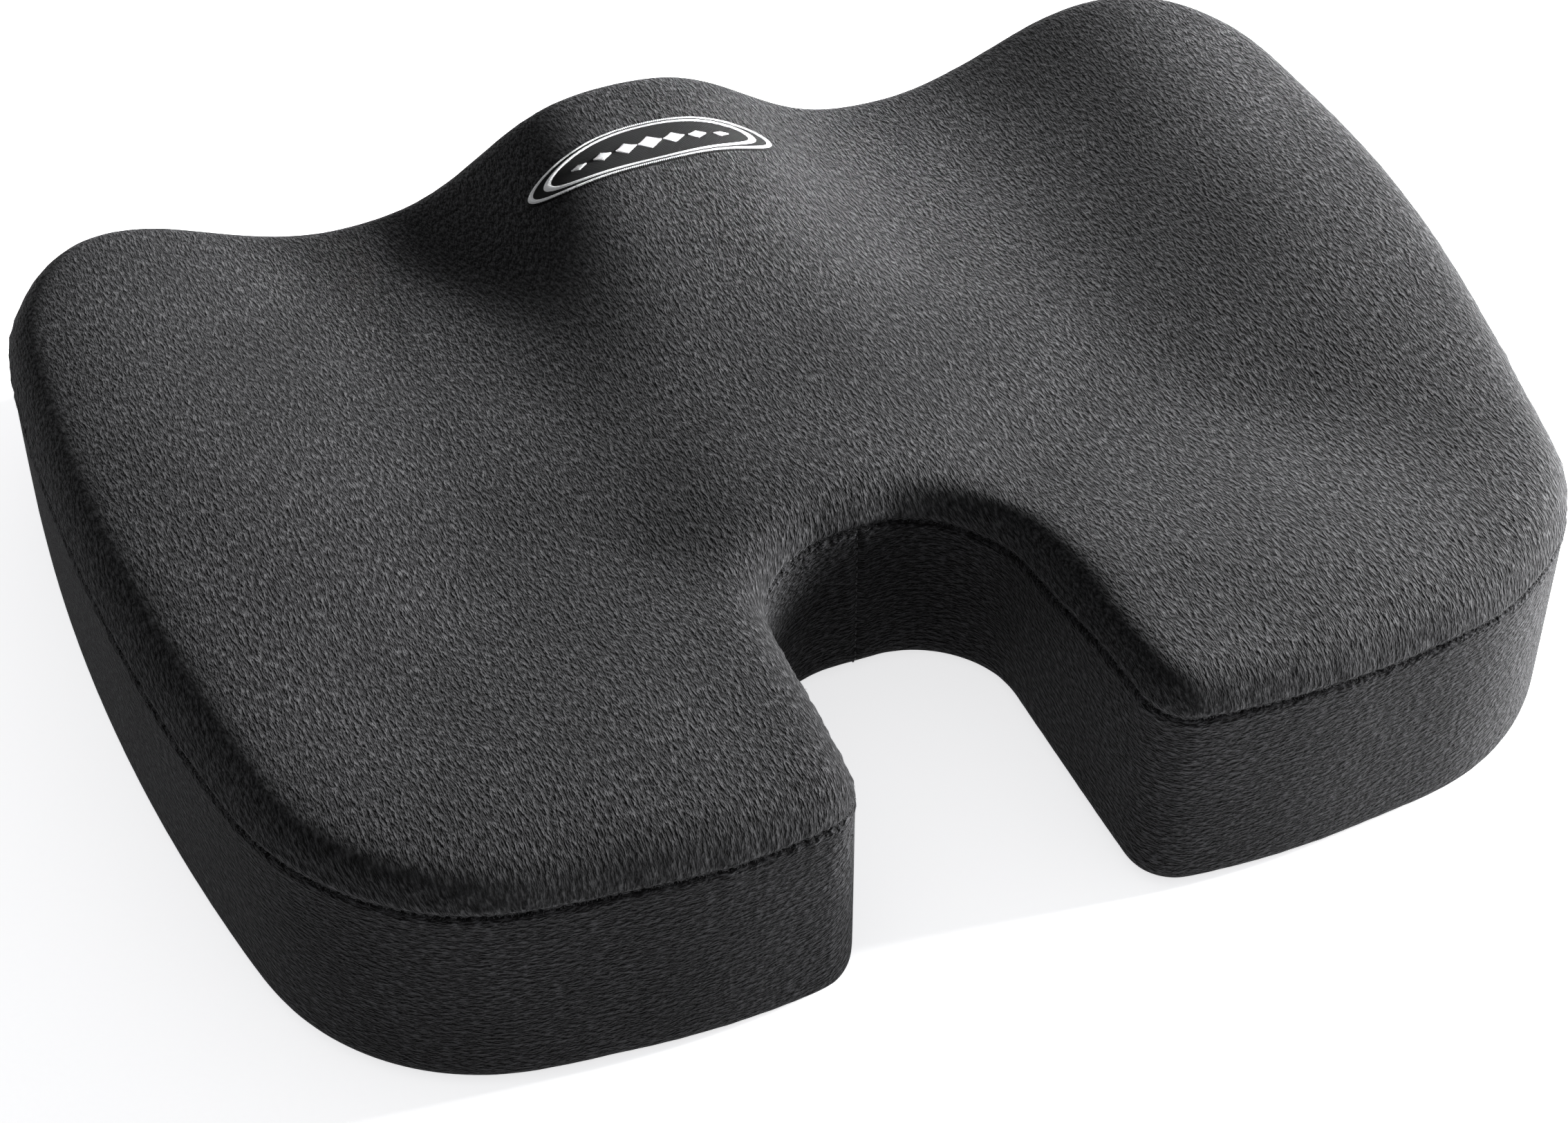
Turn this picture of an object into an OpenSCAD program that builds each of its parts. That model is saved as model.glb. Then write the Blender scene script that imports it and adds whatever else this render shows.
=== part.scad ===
// U-cut contoured foam seat cushion in a zipped velour cover.
// Millimetres. +Z up, +Y towards the front edge (the pommel), the notch opens to -Y.
// The origin is on the floor, at the middle of the whole part's bounding box.

/* [Plan outline] */
// Width across the widest part of the sides
cushion_w = 450; // [440:2:460]
// Depth from the rear edge to the flat front wall
cushion_d = 348; // [344:1:352]
// Radius of the two front corners
front_corner_r = 72; // [60:1:80]
// Radius of the two rear outer corners
rear_corner_r = 77; // [68:1:84]
// Radius of the two corners at the mouth of the notch
mouth_corner_r = 16; // [15:0.5:18]
// Half width of the notch at its inner end
notch_half_w = 39; // [37:0.5:41]
// Half width of the notch at its mouth
mouth_half_w = 44.5; // [43:0.5:47]
// How far the notch reaches in from the rear edge
notch_depth = 120; // [116:1:124]
// Radius of the notch's inner corners
notch_r = 34; // [30:1:36]

/* [Seat contour] */
// Height of the thigh troughs at the front edge
trough_h = 41; // [41:0.5:46]
// Height of the seat's bowl
bowl_h = 61; // [58:0.5:64]
// Height of the rear rim
rear_h = 84; // [80:0.5:86]
// Height of the rim along each side
side_h = 81; // [76:0.5:84]
// Height of the rim at the front corners
wing_h = 72.5; // [70:0.5:76]
// Height of the pommel between the thighs
pommel_h = 75; // [73:0.5:78]
// Height of the ridge behind the pommel
spine_mid_h = 67; // [64:0.5:69]
// Height of the ridge at the notch
spine_rear_h = 73; // [70:0.5:76]
// Half width of the pommel and its ridge
ridge_w = 55; // [50:1:60]
// How broad the ridge's top is: 2 gives a bell shape, more gives a flatter top
ridge_power = 3; // [2:0.1:3.2]
// Radius that the top rolls over at its edge
roll_r = 12; // [10:0.5:13]

/* [Cover] */
// Thickness of the velour, with its pile
velour_t = 1.4; // [1.2:0.1:1.6]
// Radius under the bottom edge
under_r = 6; // [5:0.5:7]
// Thickness of the non-slip base fabric
base_t = 1.4; // [1.2:0.1:1.6]
// Height of the grip dots under the base
dot_h = 0.6; // [0.5:0.1:0.8]
// Diameter of a grip dot
dot_d = 5; // [4:0.5:6]
// Distance between grip dots
dot_pitch = 20; // [20:1:26]

/* [Zip] */
// Length of the zip chain between its end stops
zip_l = 248; // [236:2:250]
// Height of the zip above the floor
zip_z = 20; // [19.5:0.25:20.5]
// Width of the opening that shows the chain
zip_gap = 7; // [7:0.25:8]
// Length of the pull tab past its hinge pin
pull_l = 24; // [20:1:28]
// Width of the pull tab
pull_w = 6; // [5:0.5:7]

/* [Patch] */
// Length of the oval patch
patch_l = 88; // [80:1:92]
// Width of the oval patch
patch_w = 21; // [19:0.5:24]
// Distance of the patch from the front wall
patch_from_front = 45; // [43:1:48]

/* [Detail] */
// Stations along the outline, from one rear lobe round to the other
stations = 90; // [70:2:100]
// Columns across the seat between the rolled edges
columns = 10; // [8:1:12]

/* [Hidden] */

VELOUR = "#2b2b2d";
BAND = "#222224";
BLACK_TAPE = "#141415";
SILVER = "#d9dadb";

half_w = cushion_w / 2;
pin_out = 2.5;                                  // hinge pin of the pull, out from the wall
barrel_r = 1.3;                                 // radius of the pull's eye
zip_proud = pin_out + barrel_r;                 // how far the pull stands out of the wall
front_y = (cushion_d - zip_proud) / 2;
rear_y = front_y - cushion_d;
seam_sink = roll_r;                             // the top seam lies this far under the rim
underside = dot_h;                              // lower face of the base fabric
inner_slack = 0.3;                              // room between the foam and its cover
zip_room = 3;                                   // extra room for the zip behind the front wall
chain_half = zip_l / 2;
roll_steps = 4;
corner_steps = 12;

// ---------------------------------------------------------------- curves

function unit(v) = v / norm(v);

// An arc of the given radius that rounds the corner at
function rounded(before, at, after, radius) =
  let (a = unit(before - at),
       b = unit(after - at),
       half = acos(a * b) / 2,
       centre = at + unit(a + b) * radius / sin(half),
       first = at + a * radius / tan(half) - centre,
       last = at + b * radius / tan(half) - centre,
       start = atan2(first.y, first.x),
       sweep = (atan2(last.y, last.x) - start + 540) % 360 - 180)
  [for (i = [0:corner_steps])
    let (t = start + sweep * i / corner_steps) centre + radius * [cos(t), sin(t)]];

// Corners of the right half, from the middle of the rear lobe round to the front
// Each is [x, y, radius], where the straight lines beside the rounding would meet
rear_bow_r = 240;                               // the rear edge of each lobe bows out gently
side_bow_r = 700;                               // and so does each side
outer_corners = [
  [half_w - 139, rear_y - 0.7, rear_bow_r],
  [half_w - 31, rear_y + 10, rear_corner_r],
  [half_w + 3.4, rear_y + 165, side_bow_r],
  [half_w - 6, front_y, front_corner_r]];
notch_corners = [
  [notch_half_w, rear_y + notch_depth, notch_r],
  [mouth_half_w, rear_y + 4, mouth_corner_r]];
right_corners = concat(notch_corners, outer_corners);
corner_count = len(right_corners);
corners = concat(right_corners,
  [for (i = [corner_count - 1:-1:0]) [-right_corners[i][0], right_corners[i][1], right_corners[i][2]]]);

function place(c) = [c[0], c[1]];

outline = [for (i = [0:len(corners) - 1])
  each rounded(place(corners[(i + len(corners) - 1) % len(corners)]), place(corners[i]),
               place(corners[(i + 1) % len(corners)]), corners[i][2])];

// Length along the path up to each of its points
function lengths(path) =
  [for (i = 0, s = 0; i < len(path);
        s = s + (i + 1 < len(path) ? norm(path[i + 1] - path[i]) : 0), i = i + 1) s];

closed_outline = concat(outline, [outline[0]]);
outline_lengths = lengths(closed_outline);
outline_l = outline_lengths[len(closed_outline) - 1];
x_table = [for (i = [0:len(closed_outline) - 1]) [outline_lengths[i], closed_outline[i].x]];
y_table = [for (i = [0:len(closed_outline) - 1]) [outline_lengths[i], closed_outline[i].y]];

// The outline's point at a length along it
function outline_at(s) =
  let (wrapped = (s + outline_l) % outline_l)
  [lookup(wrapped, x_table), lookup(wrapped, y_table)];

// Lengths at the middle of each rear lobe's edge, where the outer and inner runs part
points_per_corner = corner_steps + 1;
closing_l = 2 * outline[0].x;
rear_right_s = outline_lengths[2 * points_per_corner + corner_steps / 2];
rear_left_s = outline_l - closing_l - rear_right_s;
cap_l = 10;                                     // half of the rear edge between the two runs

function run(from, to) = [for (i = [0:stations]) outline_at(from + (to - from) * i / stations)];
function cap(middle) =
  [for (j = [1:columns - 1]) outline_at(middle - cap_l + 2 * cap_l * j / columns)];

// The wall line: right rear, side, front, left side, left rear, then back through the notch
wall = concat(
  run(rear_right_s + cap_l, rear_left_s - cap_l),
  cap(rear_left_s),
  run(rear_left_s + cap_l, outline_l + rear_right_s - cap_l),
  cap(rear_right_s));
wall_n = len(wall);
inward = [for (i = [0:wall_n - 1])
  let (along = unit(wall[(i + 1) % wall_n] - wall[(i + wall_n - 1) % wall_n])) [-along.y, along.x]];
front_i = stations / 2;                         // the wall's point in the middle of the front
notch_i = stations + columns + stations / 2;    // and at the inner end of the notch
zip_span = ceil((chain_half + 8) / norm(wall[front_i + 1] - wall[front_i]));

function wall_point(i, inset) = wall[i % wall_n] + inward[i % wall_n] * inset;

// ---------------------------------------------------------------- seat contour

function smooth(t) =
  let (u = min(max(t, 0), 1)) u * u * (3 - 2 * u);

// Height of the seat above the floor, before its edge rolls over
function seat_h(p) =
  let (ahead = smooth((p.y + 10) / 150),
       bed = trough_h + (bowl_h - trough_h) * smooth((160 - p.y) / 200),
       rim = side_h + (wing_h - side_h) * ahead,
       side = max(rim - bed, 0) * smooth((abs(p.x) - 100) / 105),
       rear = (rear_h - bowl_h) * smooth((-p.y - 20) / 140),
       spine = spine_rear_h + (spine_mid_h - spine_rear_h) * smooth((p.y + 60) / 80),
       ridge = spine + (pommel_h - spine) * smooth((p.y - 30) / 120),
       middle = max(ridge - bed, 0) * exp(-pow(abs(p.x) / ridge_w, ridge_power)))
  bed + pow(pow(side, 4) + pow(rear, 4) + pow(middle, 4), 1 / 4);

function seam_h(i) = seat_h(wall_point(i, 0)) - seam_sink;

// A closed ring round the wall, at an inset, with its own height for each point
function roll_ring(turn, skin) =
  [for (i = [0:wall_n - 1])
    let (inset = roll_r - (roll_r - skin) * cos(turn),
         p = wall_point(i, inset))
    [p.x, p.y, seat_h(p) - roll_r + (roll_r - skin) * sin(turn)]];

// Rings from the top seam up over the rolled edge, this far inside the cover's face
function rolled_edge(skin) =
  [for (k = [0:roll_steps]) roll_ring(90 * k / roll_steps, skin)];

// Points of the seat between the rolled edges, on the lines that join the two runs
function seat_points(skin) =
  [for (i = [1:stations - 1])
    let (outer = wall_point(i, roll_r),
         inner = wall_point(2 * stations + columns - i, roll_r))
    for (j = [1:columns - 1])
      let (p = inner + (outer - inner) * j / columns) [p.x, p.y, seat_h(p) - skin]];

// Index of a seat point: its boundary is the last ring, which starts at ring_at
function seat_index(i, j, ring_at, inside_at) =
  j == columns ? ring_at + i
  : j == 0 ? ring_at + 2 * stations + columns - i
  : i == 0 ? ring_at + 2 * stations + columns + j
  : i == stations ? ring_at + stations + columns - j
  : inside_at + (i - 1) * (columns - 1) + j - 1;

function turned(face, over) = over ? [face[2], face[1], face[0]] : face;

function seat_faces(ring_at, inside_at, over) =
  [for (i = [0:stations - 1], j = [0:columns - 1])
    let (a = seat_index(i, j, ring_at, inside_at),
         b = seat_index(i, j + 1, ring_at, inside_at),
         c = seat_index(i + 1, j + 1, ring_at, inside_at),
         d = seat_index(i + 1, j, ring_at, inside_at))
    for (face = [[a, c, b], [a, d, c]]) turned(face, over)];

// Two triangles for each step between two rings of n points
function ring_faces(low, high, n, over) =
  [for (i = [0:n - 1])
    let (next = (i + 1) % n)
    for (face = [[low + i, high + next, low + next], [low + i, high + i, high + next]])
      turned(face, over)];

// The flat underside, from the outer run straight across to the inner one, and its two caps
floor_faces = concat(
  [for (i = [0:stations - 1])
    let (a = i, b = i + 1, c = 2 * stations + columns - i - 1)
    for (face = [[a, b, c], [a, c, c + 1]]) face],
  [[for (i = [stations:stations + columns]) i],
   [for (i = [2 * stations + columns:wall_n]) i % wall_n]]);

function stack_faces(at, rings, n, over) =
  [for (k = [0:rings - 2]) each ring_faces(at + k * n, at + (k + 1) * n, n, over)];

function flatten(lists) = [for (list = lists) each list];

// ---------------------------------------------------------------- foam and cover panels

// How far the foam's wall stands inside the cover's face, deeper behind the zip
function foam_inset(p) =
  velour_t + inner_slack + zip_room * smooth((p.y - front_y + 3) / 3);

module foam_core() {
  skin = velour_t + inner_slack;
  floor_z = underside + base_t + inner_slack;
  chamfer = 5;
  foot = [for (k = [0, 1]) [for (i = [0:wall_n - 1])
    let (p = wall_point(i, foam_inset(wall[i]) + chamfer * (1 - k)))
    [p.x, p.y, floor_z + chamfer * k]]];
  shoulder = [for (i = [0:wall_n - 1])
    let (p = wall_point(i, foam_inset(wall[i]))) [p.x, p.y, seam_h(i) - inner_slack]];
  edge = [for (k = [1:roll_steps]) roll_ring(90 * k / roll_steps, skin)];
  rings = concat(foot, [shoulder], edge);
  last_ring = (len(rings) - 1) * wall_n;
  inside_at = len(rings) * wall_n;
  color("#e8e3d2")
  polyhedron(
    points = concat(flatten(rings), seat_points(skin)),
    faces = concat(floor_faces,
                   stack_faces(0, len(rings), wall_n, false),
                   seat_faces(last_ring, inside_at, false)));
}

module top_panel() {
  outside = rolled_edge(0);
  inside = rolled_edge(velour_t);
  rings = len(outside);
  outside_seat = rings * wall_n;
  inside_at = outside_seat + (stations - 1) * (columns - 1);
  inside_seat = inside_at + rings * wall_n;
  color(VELOUR)
  polyhedron(
    points = concat(flatten(outside), seat_points(0), flatten(inside), seat_points(velour_t)),
    faces = concat(stack_faces(0, rings, wall_n, false),
                   seat_faces((rings - 1) * wall_n, outside_seat, false),
                   stack_faces(inside_at, rings, wall_n, true),
                   seat_faces(inside_at + (rings - 1) * wall_n, inside_seat, true),
                   ring_faces(inside_at, 0, wall_n, false)));
}

// Cross-section of the side band at a wall point, as [inset, height] going round
function band_section(i) =
  let (top = seam_h(i),
       top_inside = seat_h(wall_point(i, velour_t)) - seam_sink,
       low = underside + base_t)
  [[0, top], [0, underside + under_r], [under_r * 0.3, underside + under_r * 0.3],
   [under_r, underside], [under_r + velour_t, low], [under_r + 0.2, low],
   [under_r * 0.3 + velour_t, underside + under_r * 0.3 + velour_t],
   [velour_t, underside + under_r + velour_t * 0.4], [velour_t, top_inside]];

function placed_section(i) =
  [for (s = band_section(i)) let (p = wall_point(i, s[0])) [p.x, p.y, s[1]]];

// A strip of the cover's wall from one wall point to another
module side_band(first, last) {
  sections = [for (i = [first:last]) placed_section(i)];
  n = len(sections[0]);
  final = (len(sections) - 1) * n;
  polyhedron(
    points = flatten(sections),
    faces = concat([[for (i = [n - 1:-1:0]) i]],
                   stack_faces(0, len(sections), n, true),
                   [[for (i = [0:n - 1]) final + i]]));
}

module left_side_band() {
  color(BAND) side_band(front_i + zip_span, notch_i);
}

module right_side_band() {
  color(BAND) side_band(notch_i, wall_n + front_i - zip_span);
}

bay_half = wall[front_i - zip_span].x;          // half width of the bay that holds the zip

module front_band_upper() {
  low = zip_z + zip_gap / 2;
  crest = [for (i = [front_i - zip_span:front_i + zip_span]) [wall[i].x, seam_h(i)]];
  color(BAND)
  translate([0, front_y, 0])
  rotate([90, 0, 0])
  linear_extrude(velour_t)
  polygon(concat(crest, [[-bay_half, low], [bay_half, low]]));
}

module front_band_lower() {
  high = zip_z - zip_gap / 2;
  section = [for (s = band_section(front_i)) [front_y - s[0], min(s[1], high)]];
  color(BAND)
  translate([-bay_half, 0, 0])
  rotate([90, 0, 90])
  linear_extrude(2 * bay_half)
  polygon(section);
}

module base_outline(inset) {
  polygon([for (i = [0:wall_n - 1]) wall_point(i, inset)]);
}

module base_panel() {
  color("#1b1b1c")
  translate([0, 0, underside])
  linear_extrude(base_t)
  base_outline(under_r + velour_t + 0.1);
}

// ---------------------------------------------------------------- underside

label_size = [56, 34];
label_at = [0, front_y - 46];

function winding(p, i = 0) =
  i >= wall_n ? 0
  : let (a = wall[i], b = wall[(i + 1) % wall_n],
         crosses = (a.y > p.y) != (b.y > p.y)
           && p.x < a.x + (b.x - a.x) * (p.y - a.y) / (b.y - a.y))
    (crosses ? 1 : 0) + winding(p, i + 1);
function is_inside(p) = winding(p) % 2 == 1;
function has_room(p, room) =
  is_inside(p) && min([for (q = wall) norm(q - p)]) > room;
function on_label(p) =
  abs(p.x - label_at.x) < label_size.x / 2 + dot_d && abs(p.y - label_at.y) < label_size.y / 2 + dot_d;

module grip_dots() {
  row_step = dot_pitch * sin(60);
  rows = ceil(cushion_d / 2 / row_step);
  cols = ceil(half_w / dot_pitch);
  color("#0f0f10")
  for (r = [-rows:rows], c = [-cols:cols]) {
    p = [(c + (r % 2 == 0 ? 0 : 0.5)) * dot_pitch, r * row_step];
    if (has_room(p, under_r + velour_t + dot_d) && !on_label(p))
      translate([p.x, p.y, 0])
      cylinder(d = dot_d, h = dot_h, $fn = 24);
  }
}

module care_label() {
  color("#c9c9c6")
  translate([label_at.x - label_size.x / 2, label_at.y - label_size.y / 2, underside - 0.25])
  cube([label_size.x, label_size.y, 0.25]);
}

// ---------------------------------------------------------------- seam threads

thread_r = 0.3;

// A closed thread along the wall at an outset, with a height for each point
module seam_thread(outset, heights) {
  sides = 4;
  sections = [for (i = [0:wall_n - 1], k = [0:sides - 1])
    let (turn = 360 * k / sides,
         p = wall_point(i, -outset - thread_r * cos(turn)))
    [p.x, p.y, heights[i] + thread_r * sin(turn)]];
  color("#17171a")
  polyhedron(
    points = sections,
    faces = [for (i = [0:wall_n - 1], k = [0:sides - 1])
      let (a = i * sides + k,
           b = i * sides + (k + 1) % sides,
           c = ((i + 1) % wall_n) * sides + (k + 1) % sides,
           d = ((i + 1) % wall_n) * sides + k)
      for (face = [[a, b, c], [a, c, d]]) face]);
}

module top_seam_thread() {
  seam_thread(thread_r + 0.05, [for (i = [0:wall_n - 1]) seam_h(i)]);
}

module base_seam_thread() {
  seam_thread(-under_r - velour_t - 0.05 - thread_r, [for (i = [0:wall_n - 1]) underside - thread_r]);
}

// Upright lines of stitching where the bands join: in the notch and beside the zip
module band_join_thread() {
  for (i = [front_i - zip_span, front_i + zip_span, notch_i]) {
    p = wall_point(i, -thread_r - 0.1);
    low = underside + under_r;
    color("#17171a")
    translate([p.x, p.y, low])
    cylinder(r = thread_r, h = seam_h(i) - low - 1, $fn = 16);
  }
}

// ---------------------------------------------------------------- zip

tape_t = 0.6;
tape_w = 7;
coil_r = 0.7;
coil_off = 1.15;                                // each coil's height above or below the zip's middle
coil_y = front_y - velour_t;
tape_y = front_y - velour_t - tape_t;

module zip_tape(low) {
  color(BLACK_TAPE)
  translate([-chain_half - 4, tape_y, low])
  cube([zip_l + 8, tape_t, tape_w]);
}

module zip_tape_upper() {
  zip_tape(zip_z + coil_off + coil_r);
}

module zip_tape_lower() {
  zip_tape(zip_z - coil_off - coil_r - tape_w);
}

module zip_coil(z) {
  color("#0d0d0e")
  translate([-chain_half, coil_y, z])
  rotate([0, 90, 0])
  cylinder(r = coil_r, h = zip_l, $fn = 24);
}

module zip_coil_upper() {
  zip_coil(zip_z + coil_off);
}

module zip_coil_lower() {
  zip_coil(zip_z - coil_off);
}

stop_l = 2;
stop_y = coil_y - coil_r - 0.1;
stop_d = 2 * coil_r + 0.3;
stop_reach = 1.8;                               // half height of the two stops of a pair together
stop_h = 1.4;

// Two crimped stops where the zip is closed
module zip_top_stops() {
  color("#2a2a2b")
  for (side = [-1, 1])
    translate([chain_half, stop_y, zip_z + side * (stop_reach - stop_h / 2) - stop_h / 2])
    cube([stop_l, stop_d, stop_h]);
}

// One stop joins both tapes where the zip is open
module zip_bottom_stop() {
  color("#2a2a2b")
  translate([-chain_half - stop_l, stop_y, zip_z - stop_reach])
  cube([stop_l, stop_d, 2 * stop_reach]);
}

stitch_l = 3;
stitch_pitch = 4;
stitch_off = zip_gap / 2 + 2;

// Rows of stitches that hold the tapes to the bands
module zip_stitching() {
  count = floor(zip_l / stitch_pitch);
  color("#19191b")
  for (side = [-1, 1], i = [0:count - 1])
    translate([(i - count / 2) * stitch_pitch, front_y, zip_z + side * stitch_off - 0.2])
    cube([stitch_l, 0.3, 0.4]);
}

slider_l = 9;
slider_w = 6;
slider_at = chain_half - slider_l / 2 - 1.5;    // where the slider stands when the zip is closed
plate_t = 1.1;
plate_y = front_y - 0.3;
inner_plate_t = 0.8;
inner_plate_y = tape_y - 0.6 - inner_plate_t;
web_t = 0.3;
pin_r = 0.5;
lug_t = 0.7;
lug_off = 1.4;
lug_r = 1.1;

// The slider's plate in the zip's plane: round at the mouth, narrower at the tail
module slider_plate(y, t) {
  translate([0, y, 0])
  rotate([90, 0, 0])
  mirror([0, 0, 1])
  linear_extrude(t)
  polygon([[-slider_l / 2, -1.9], [-slider_l / 2 + 0.6, -2.3], [slider_l / 2 - 2, -slider_w / 2],
           [slider_l / 2 - 0.6, -slider_w / 2 + 0.4], [slider_l / 2, -1.8],
           [slider_l / 2, 1.8], [slider_l / 2 - 0.6, slider_w / 2 - 0.4],
           [slider_l / 2 - 2, slider_w / 2], [-slider_l / 2 + 0.6, 2.3], [-slider_l / 2, 1.9]]);
}

module zip_slider() {
  color("#1d1d1f")
  translate([slider_at, 0, zip_z]) {
    slider_plate(plate_y, plate_t);
    slider_plate(inner_plate_y, inner_plate_t);
    translate([0.5, inner_plate_y, -web_t / 2])
    cube([3, plate_y - inner_plate_y + 0.2, web_t]);
    for (side = [-1, 1])
      translate([0, 0, side * (lug_off + lug_t / 2) - lug_t / 2]) {
        translate([0, front_y + pin_out, 0])
        cylinder(r = lug_r, h = lug_t, $fn = 32);
        translate([-lug_r, front_y + 0.4, 0])
        cube([2 * lug_r, pin_out - 0.4, lug_t]);
      }
    translate([0, front_y + pin_out, -lug_off - lug_t])
    cylinder(r = pin_r, h = 2 * (lug_off + lug_t), $fn = 32);
  }
}

eye_w = 2.2;
eye_bore_r = 0.8;
tab_t = 0.9;
neck_l = 3.4;
finger_hole_r = 1.5;

// The pull lies along the zip, towards its open end, when it is at rest
module zip_pull() {
  color("#1d1d1f")
  translate([slider_at, front_y + pin_out, zip_z])
  difference() {
    union() {
      translate([0, 0, -eye_w / 2])
      cylinder(r = barrel_r, h = eye_w, $fn = 32);
      translate([-neck_l, -tab_t / 2, -eye_w / 2])
      cube([neck_l, tab_t, eye_w]);
      translate([-pull_l + pull_w / 2, -tab_t / 2, -pull_w / 2])
      cube([pull_l - pull_w / 2 - neck_l + 0.4, tab_t, pull_w]);
      translate([-pull_l + pull_w / 2, tab_t / 2, 0])
      rotate([90, 0, 0])
      cylinder(r = pull_w / 2, h = tab_t, $fn = 48);
    }
    translate([0, 0, -eye_w])
    cylinder(r = eye_bore_r, h = 2 * eye_w, $fn = 32);
    translate([-pull_l + pull_w / 2, tab_t, 0])
    rotate([90, 0, 0])
    cylinder(r = finger_hole_r, h = 2 * tab_t, $fn = 32);
  }
}

// ---------------------------------------------------------------- patch on the pommel

patch_steps = 40;
patch_rings = 4;
patch_at = [0, front_y - patch_from_front];

// A point over the seat, at a share of the oval's radius and a lift above the fabric
function patch_point(share, turn, lift) =
  let (p = patch_at + share * [patch_l / 2 * cos(turn), patch_w / 2 * sin(turn)])
  [p.x, p.y, seat_h(p) + lift];

function patch_ring(share, lift) =
  [for (i = [0:patch_steps - 1]) patch_point(share, 360 * i / patch_steps, lift)];

module patch_base() {
  n = patch_steps;
  low = 0.35;
  high = 1;
  shares = [for (k = [patch_rings:-1:1]) k / patch_rings];
  rings = concat([for (k = [patch_rings - 1:-1:0]) patch_ring(shares[k], low)],
                 [for (k = [0:patch_rings - 1]) patch_ring(shares[k], high)]);
  centre_low = len(rings) * n;
  centre_high = centre_low + 1;
  last = (len(rings) - 1) * n;
  color("#0b0b0c")
  polyhedron(
    points = concat(flatten(rings), [patch_point(0, 0, low), patch_point(0, 0, high)]),
    faces = concat(
      stack_faces(0, len(rings), n, false),
      [for (i = [0:n - 1]) [centre_low, i, (i + 1) % n]],
      [for (i = [0:n - 1]) [centre_high, last + (i + 1) % n, last + i]]));
}

// An oval line of embroidery between two shares of the patch's radius
module oval_line(outer, inner) {
  low = 1.1;
  high = 1.55;
  n = patch_steps;
  rings = [patch_ring(outer, low), patch_ring(outer, high), patch_ring(inner, high),
           patch_ring(inner, low)];
  polyhedron(
    points = flatten(rings),
    faces = concat(ring_faces(0, n, n, false), ring_faces(n, 2 * n, n, false),
                   ring_faces(2 * n, 3 * n, n, false), ring_faces(3 * n, 0, n, false)));
}

module patch_border() {
  color(SILVER) oval_line(0.98, 0.93);
  color(SILVER) oval_line(0.86, 0.83);
}

// A row of plain lozenges, the largest in the middle
module patch_motif() {
  low = 1.35;
  high = 1.8;
  color(SILVER)
  for (i = [-3:3]) {
    half_l = 4.2 - 0.5 * abs(i);
    half_h = 3.9 - 0.8 * abs(i);
    c = patch_at + [i * 8.4, 0];
    rim = [for (q = [[half_l, 0], [0, half_h], [-half_l, 0], [0, -half_h]]) c + q];
    polyhedron(
      points = concat([for (q = rim) [q.x, q.y, seat_h(q) + low]],
                      [for (q = rim) [q.x, q.y, seat_h(q) + high]]),
      faces = concat([[0, 1, 2], [0, 2, 3]], ring_faces(0, 4, 4, false), [[6, 5, 4], [7, 6, 4]]));
  }
}

foam_core();
top_panel();
left_side_band();
right_side_band();
front_band_upper();
front_band_lower();
base_panel();
grip_dots();
top_seam_thread();
base_seam_thread();
band_join_thread();
care_label();
zip_tape_upper();
zip_tape_lower();
zip_coil_upper();
zip_coil_lower();
zip_top_stops();
zip_bottom_stop();
zip_stitching();
zip_slider();
zip_pull();
patch_base();
patch_border();
patch_motif();
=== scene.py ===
"""Looks of a U-cut seat cushion: a contoured foam core in a zipped velour cover.

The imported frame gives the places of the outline, the zip, the label, the dots and the patch, and the
seat's contour repeats the part's own formula. Shapes are worked out in millimetres and written as
meshes in metres. The cover is one surface that is puffed by a cloth simulation, sewn down at its
seams, and then cut into the panels that a maker would cut.
"""

import logging
import math
from dataclasses import dataclass, field
from enum import Enum

import bmesh
import bpy
import numpy as np
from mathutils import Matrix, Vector
from mathutils.bvhtree import BVHTree
from mathutils.kdtree import KDTree


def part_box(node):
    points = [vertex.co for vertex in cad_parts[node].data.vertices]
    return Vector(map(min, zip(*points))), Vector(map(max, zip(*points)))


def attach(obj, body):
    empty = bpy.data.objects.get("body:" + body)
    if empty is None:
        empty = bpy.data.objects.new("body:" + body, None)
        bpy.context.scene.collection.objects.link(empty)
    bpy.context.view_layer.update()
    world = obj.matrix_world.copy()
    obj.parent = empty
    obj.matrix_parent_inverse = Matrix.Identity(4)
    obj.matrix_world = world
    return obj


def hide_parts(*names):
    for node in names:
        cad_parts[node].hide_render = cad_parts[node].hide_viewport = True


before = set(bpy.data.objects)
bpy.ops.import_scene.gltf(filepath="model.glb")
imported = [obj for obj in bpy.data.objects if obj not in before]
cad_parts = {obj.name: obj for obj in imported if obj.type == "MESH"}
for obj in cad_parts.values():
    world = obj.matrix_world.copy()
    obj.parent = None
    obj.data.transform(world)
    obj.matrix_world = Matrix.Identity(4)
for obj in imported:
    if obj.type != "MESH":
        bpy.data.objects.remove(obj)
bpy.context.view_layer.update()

LOG = logging.getLogger("cushion")
MM = 0.001
# The cushion's driving sizes, and the top panel's width at that width, in millimetres
WIDTH = 450.0
DEPTH = 348.0
TOP_PANEL_WIDTH = 448.8
UP = np.array([0, 0, 1.0])
# The scale at which a wave texture has about one ridge to a pattern size
ONE_RIDGE = 0.32

Socket = bpy.types.NodeSocket
Material = bpy.types.Material
Piece = bpy.types.Object


# ------------------------------------------------------------------ small tools


def linear(code: str) -> tuple[float, float, float, float]:
    """Turns an sRGB hex colour into linear RGBA.

    Args:
        code: The colour as #rrggbb.

    Returns:
        Red, green and blue in linear light, and an alpha of 1.
    """
    parts = [int(code[i : i + 2], 16) / 255 for i in (1, 3, 5)]
    light = [p / 12.92 if p <= 0.04045 else ((p + 0.055) / 1.055) ** 2.4 for p in parts]
    return (*light, 1.0)


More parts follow.
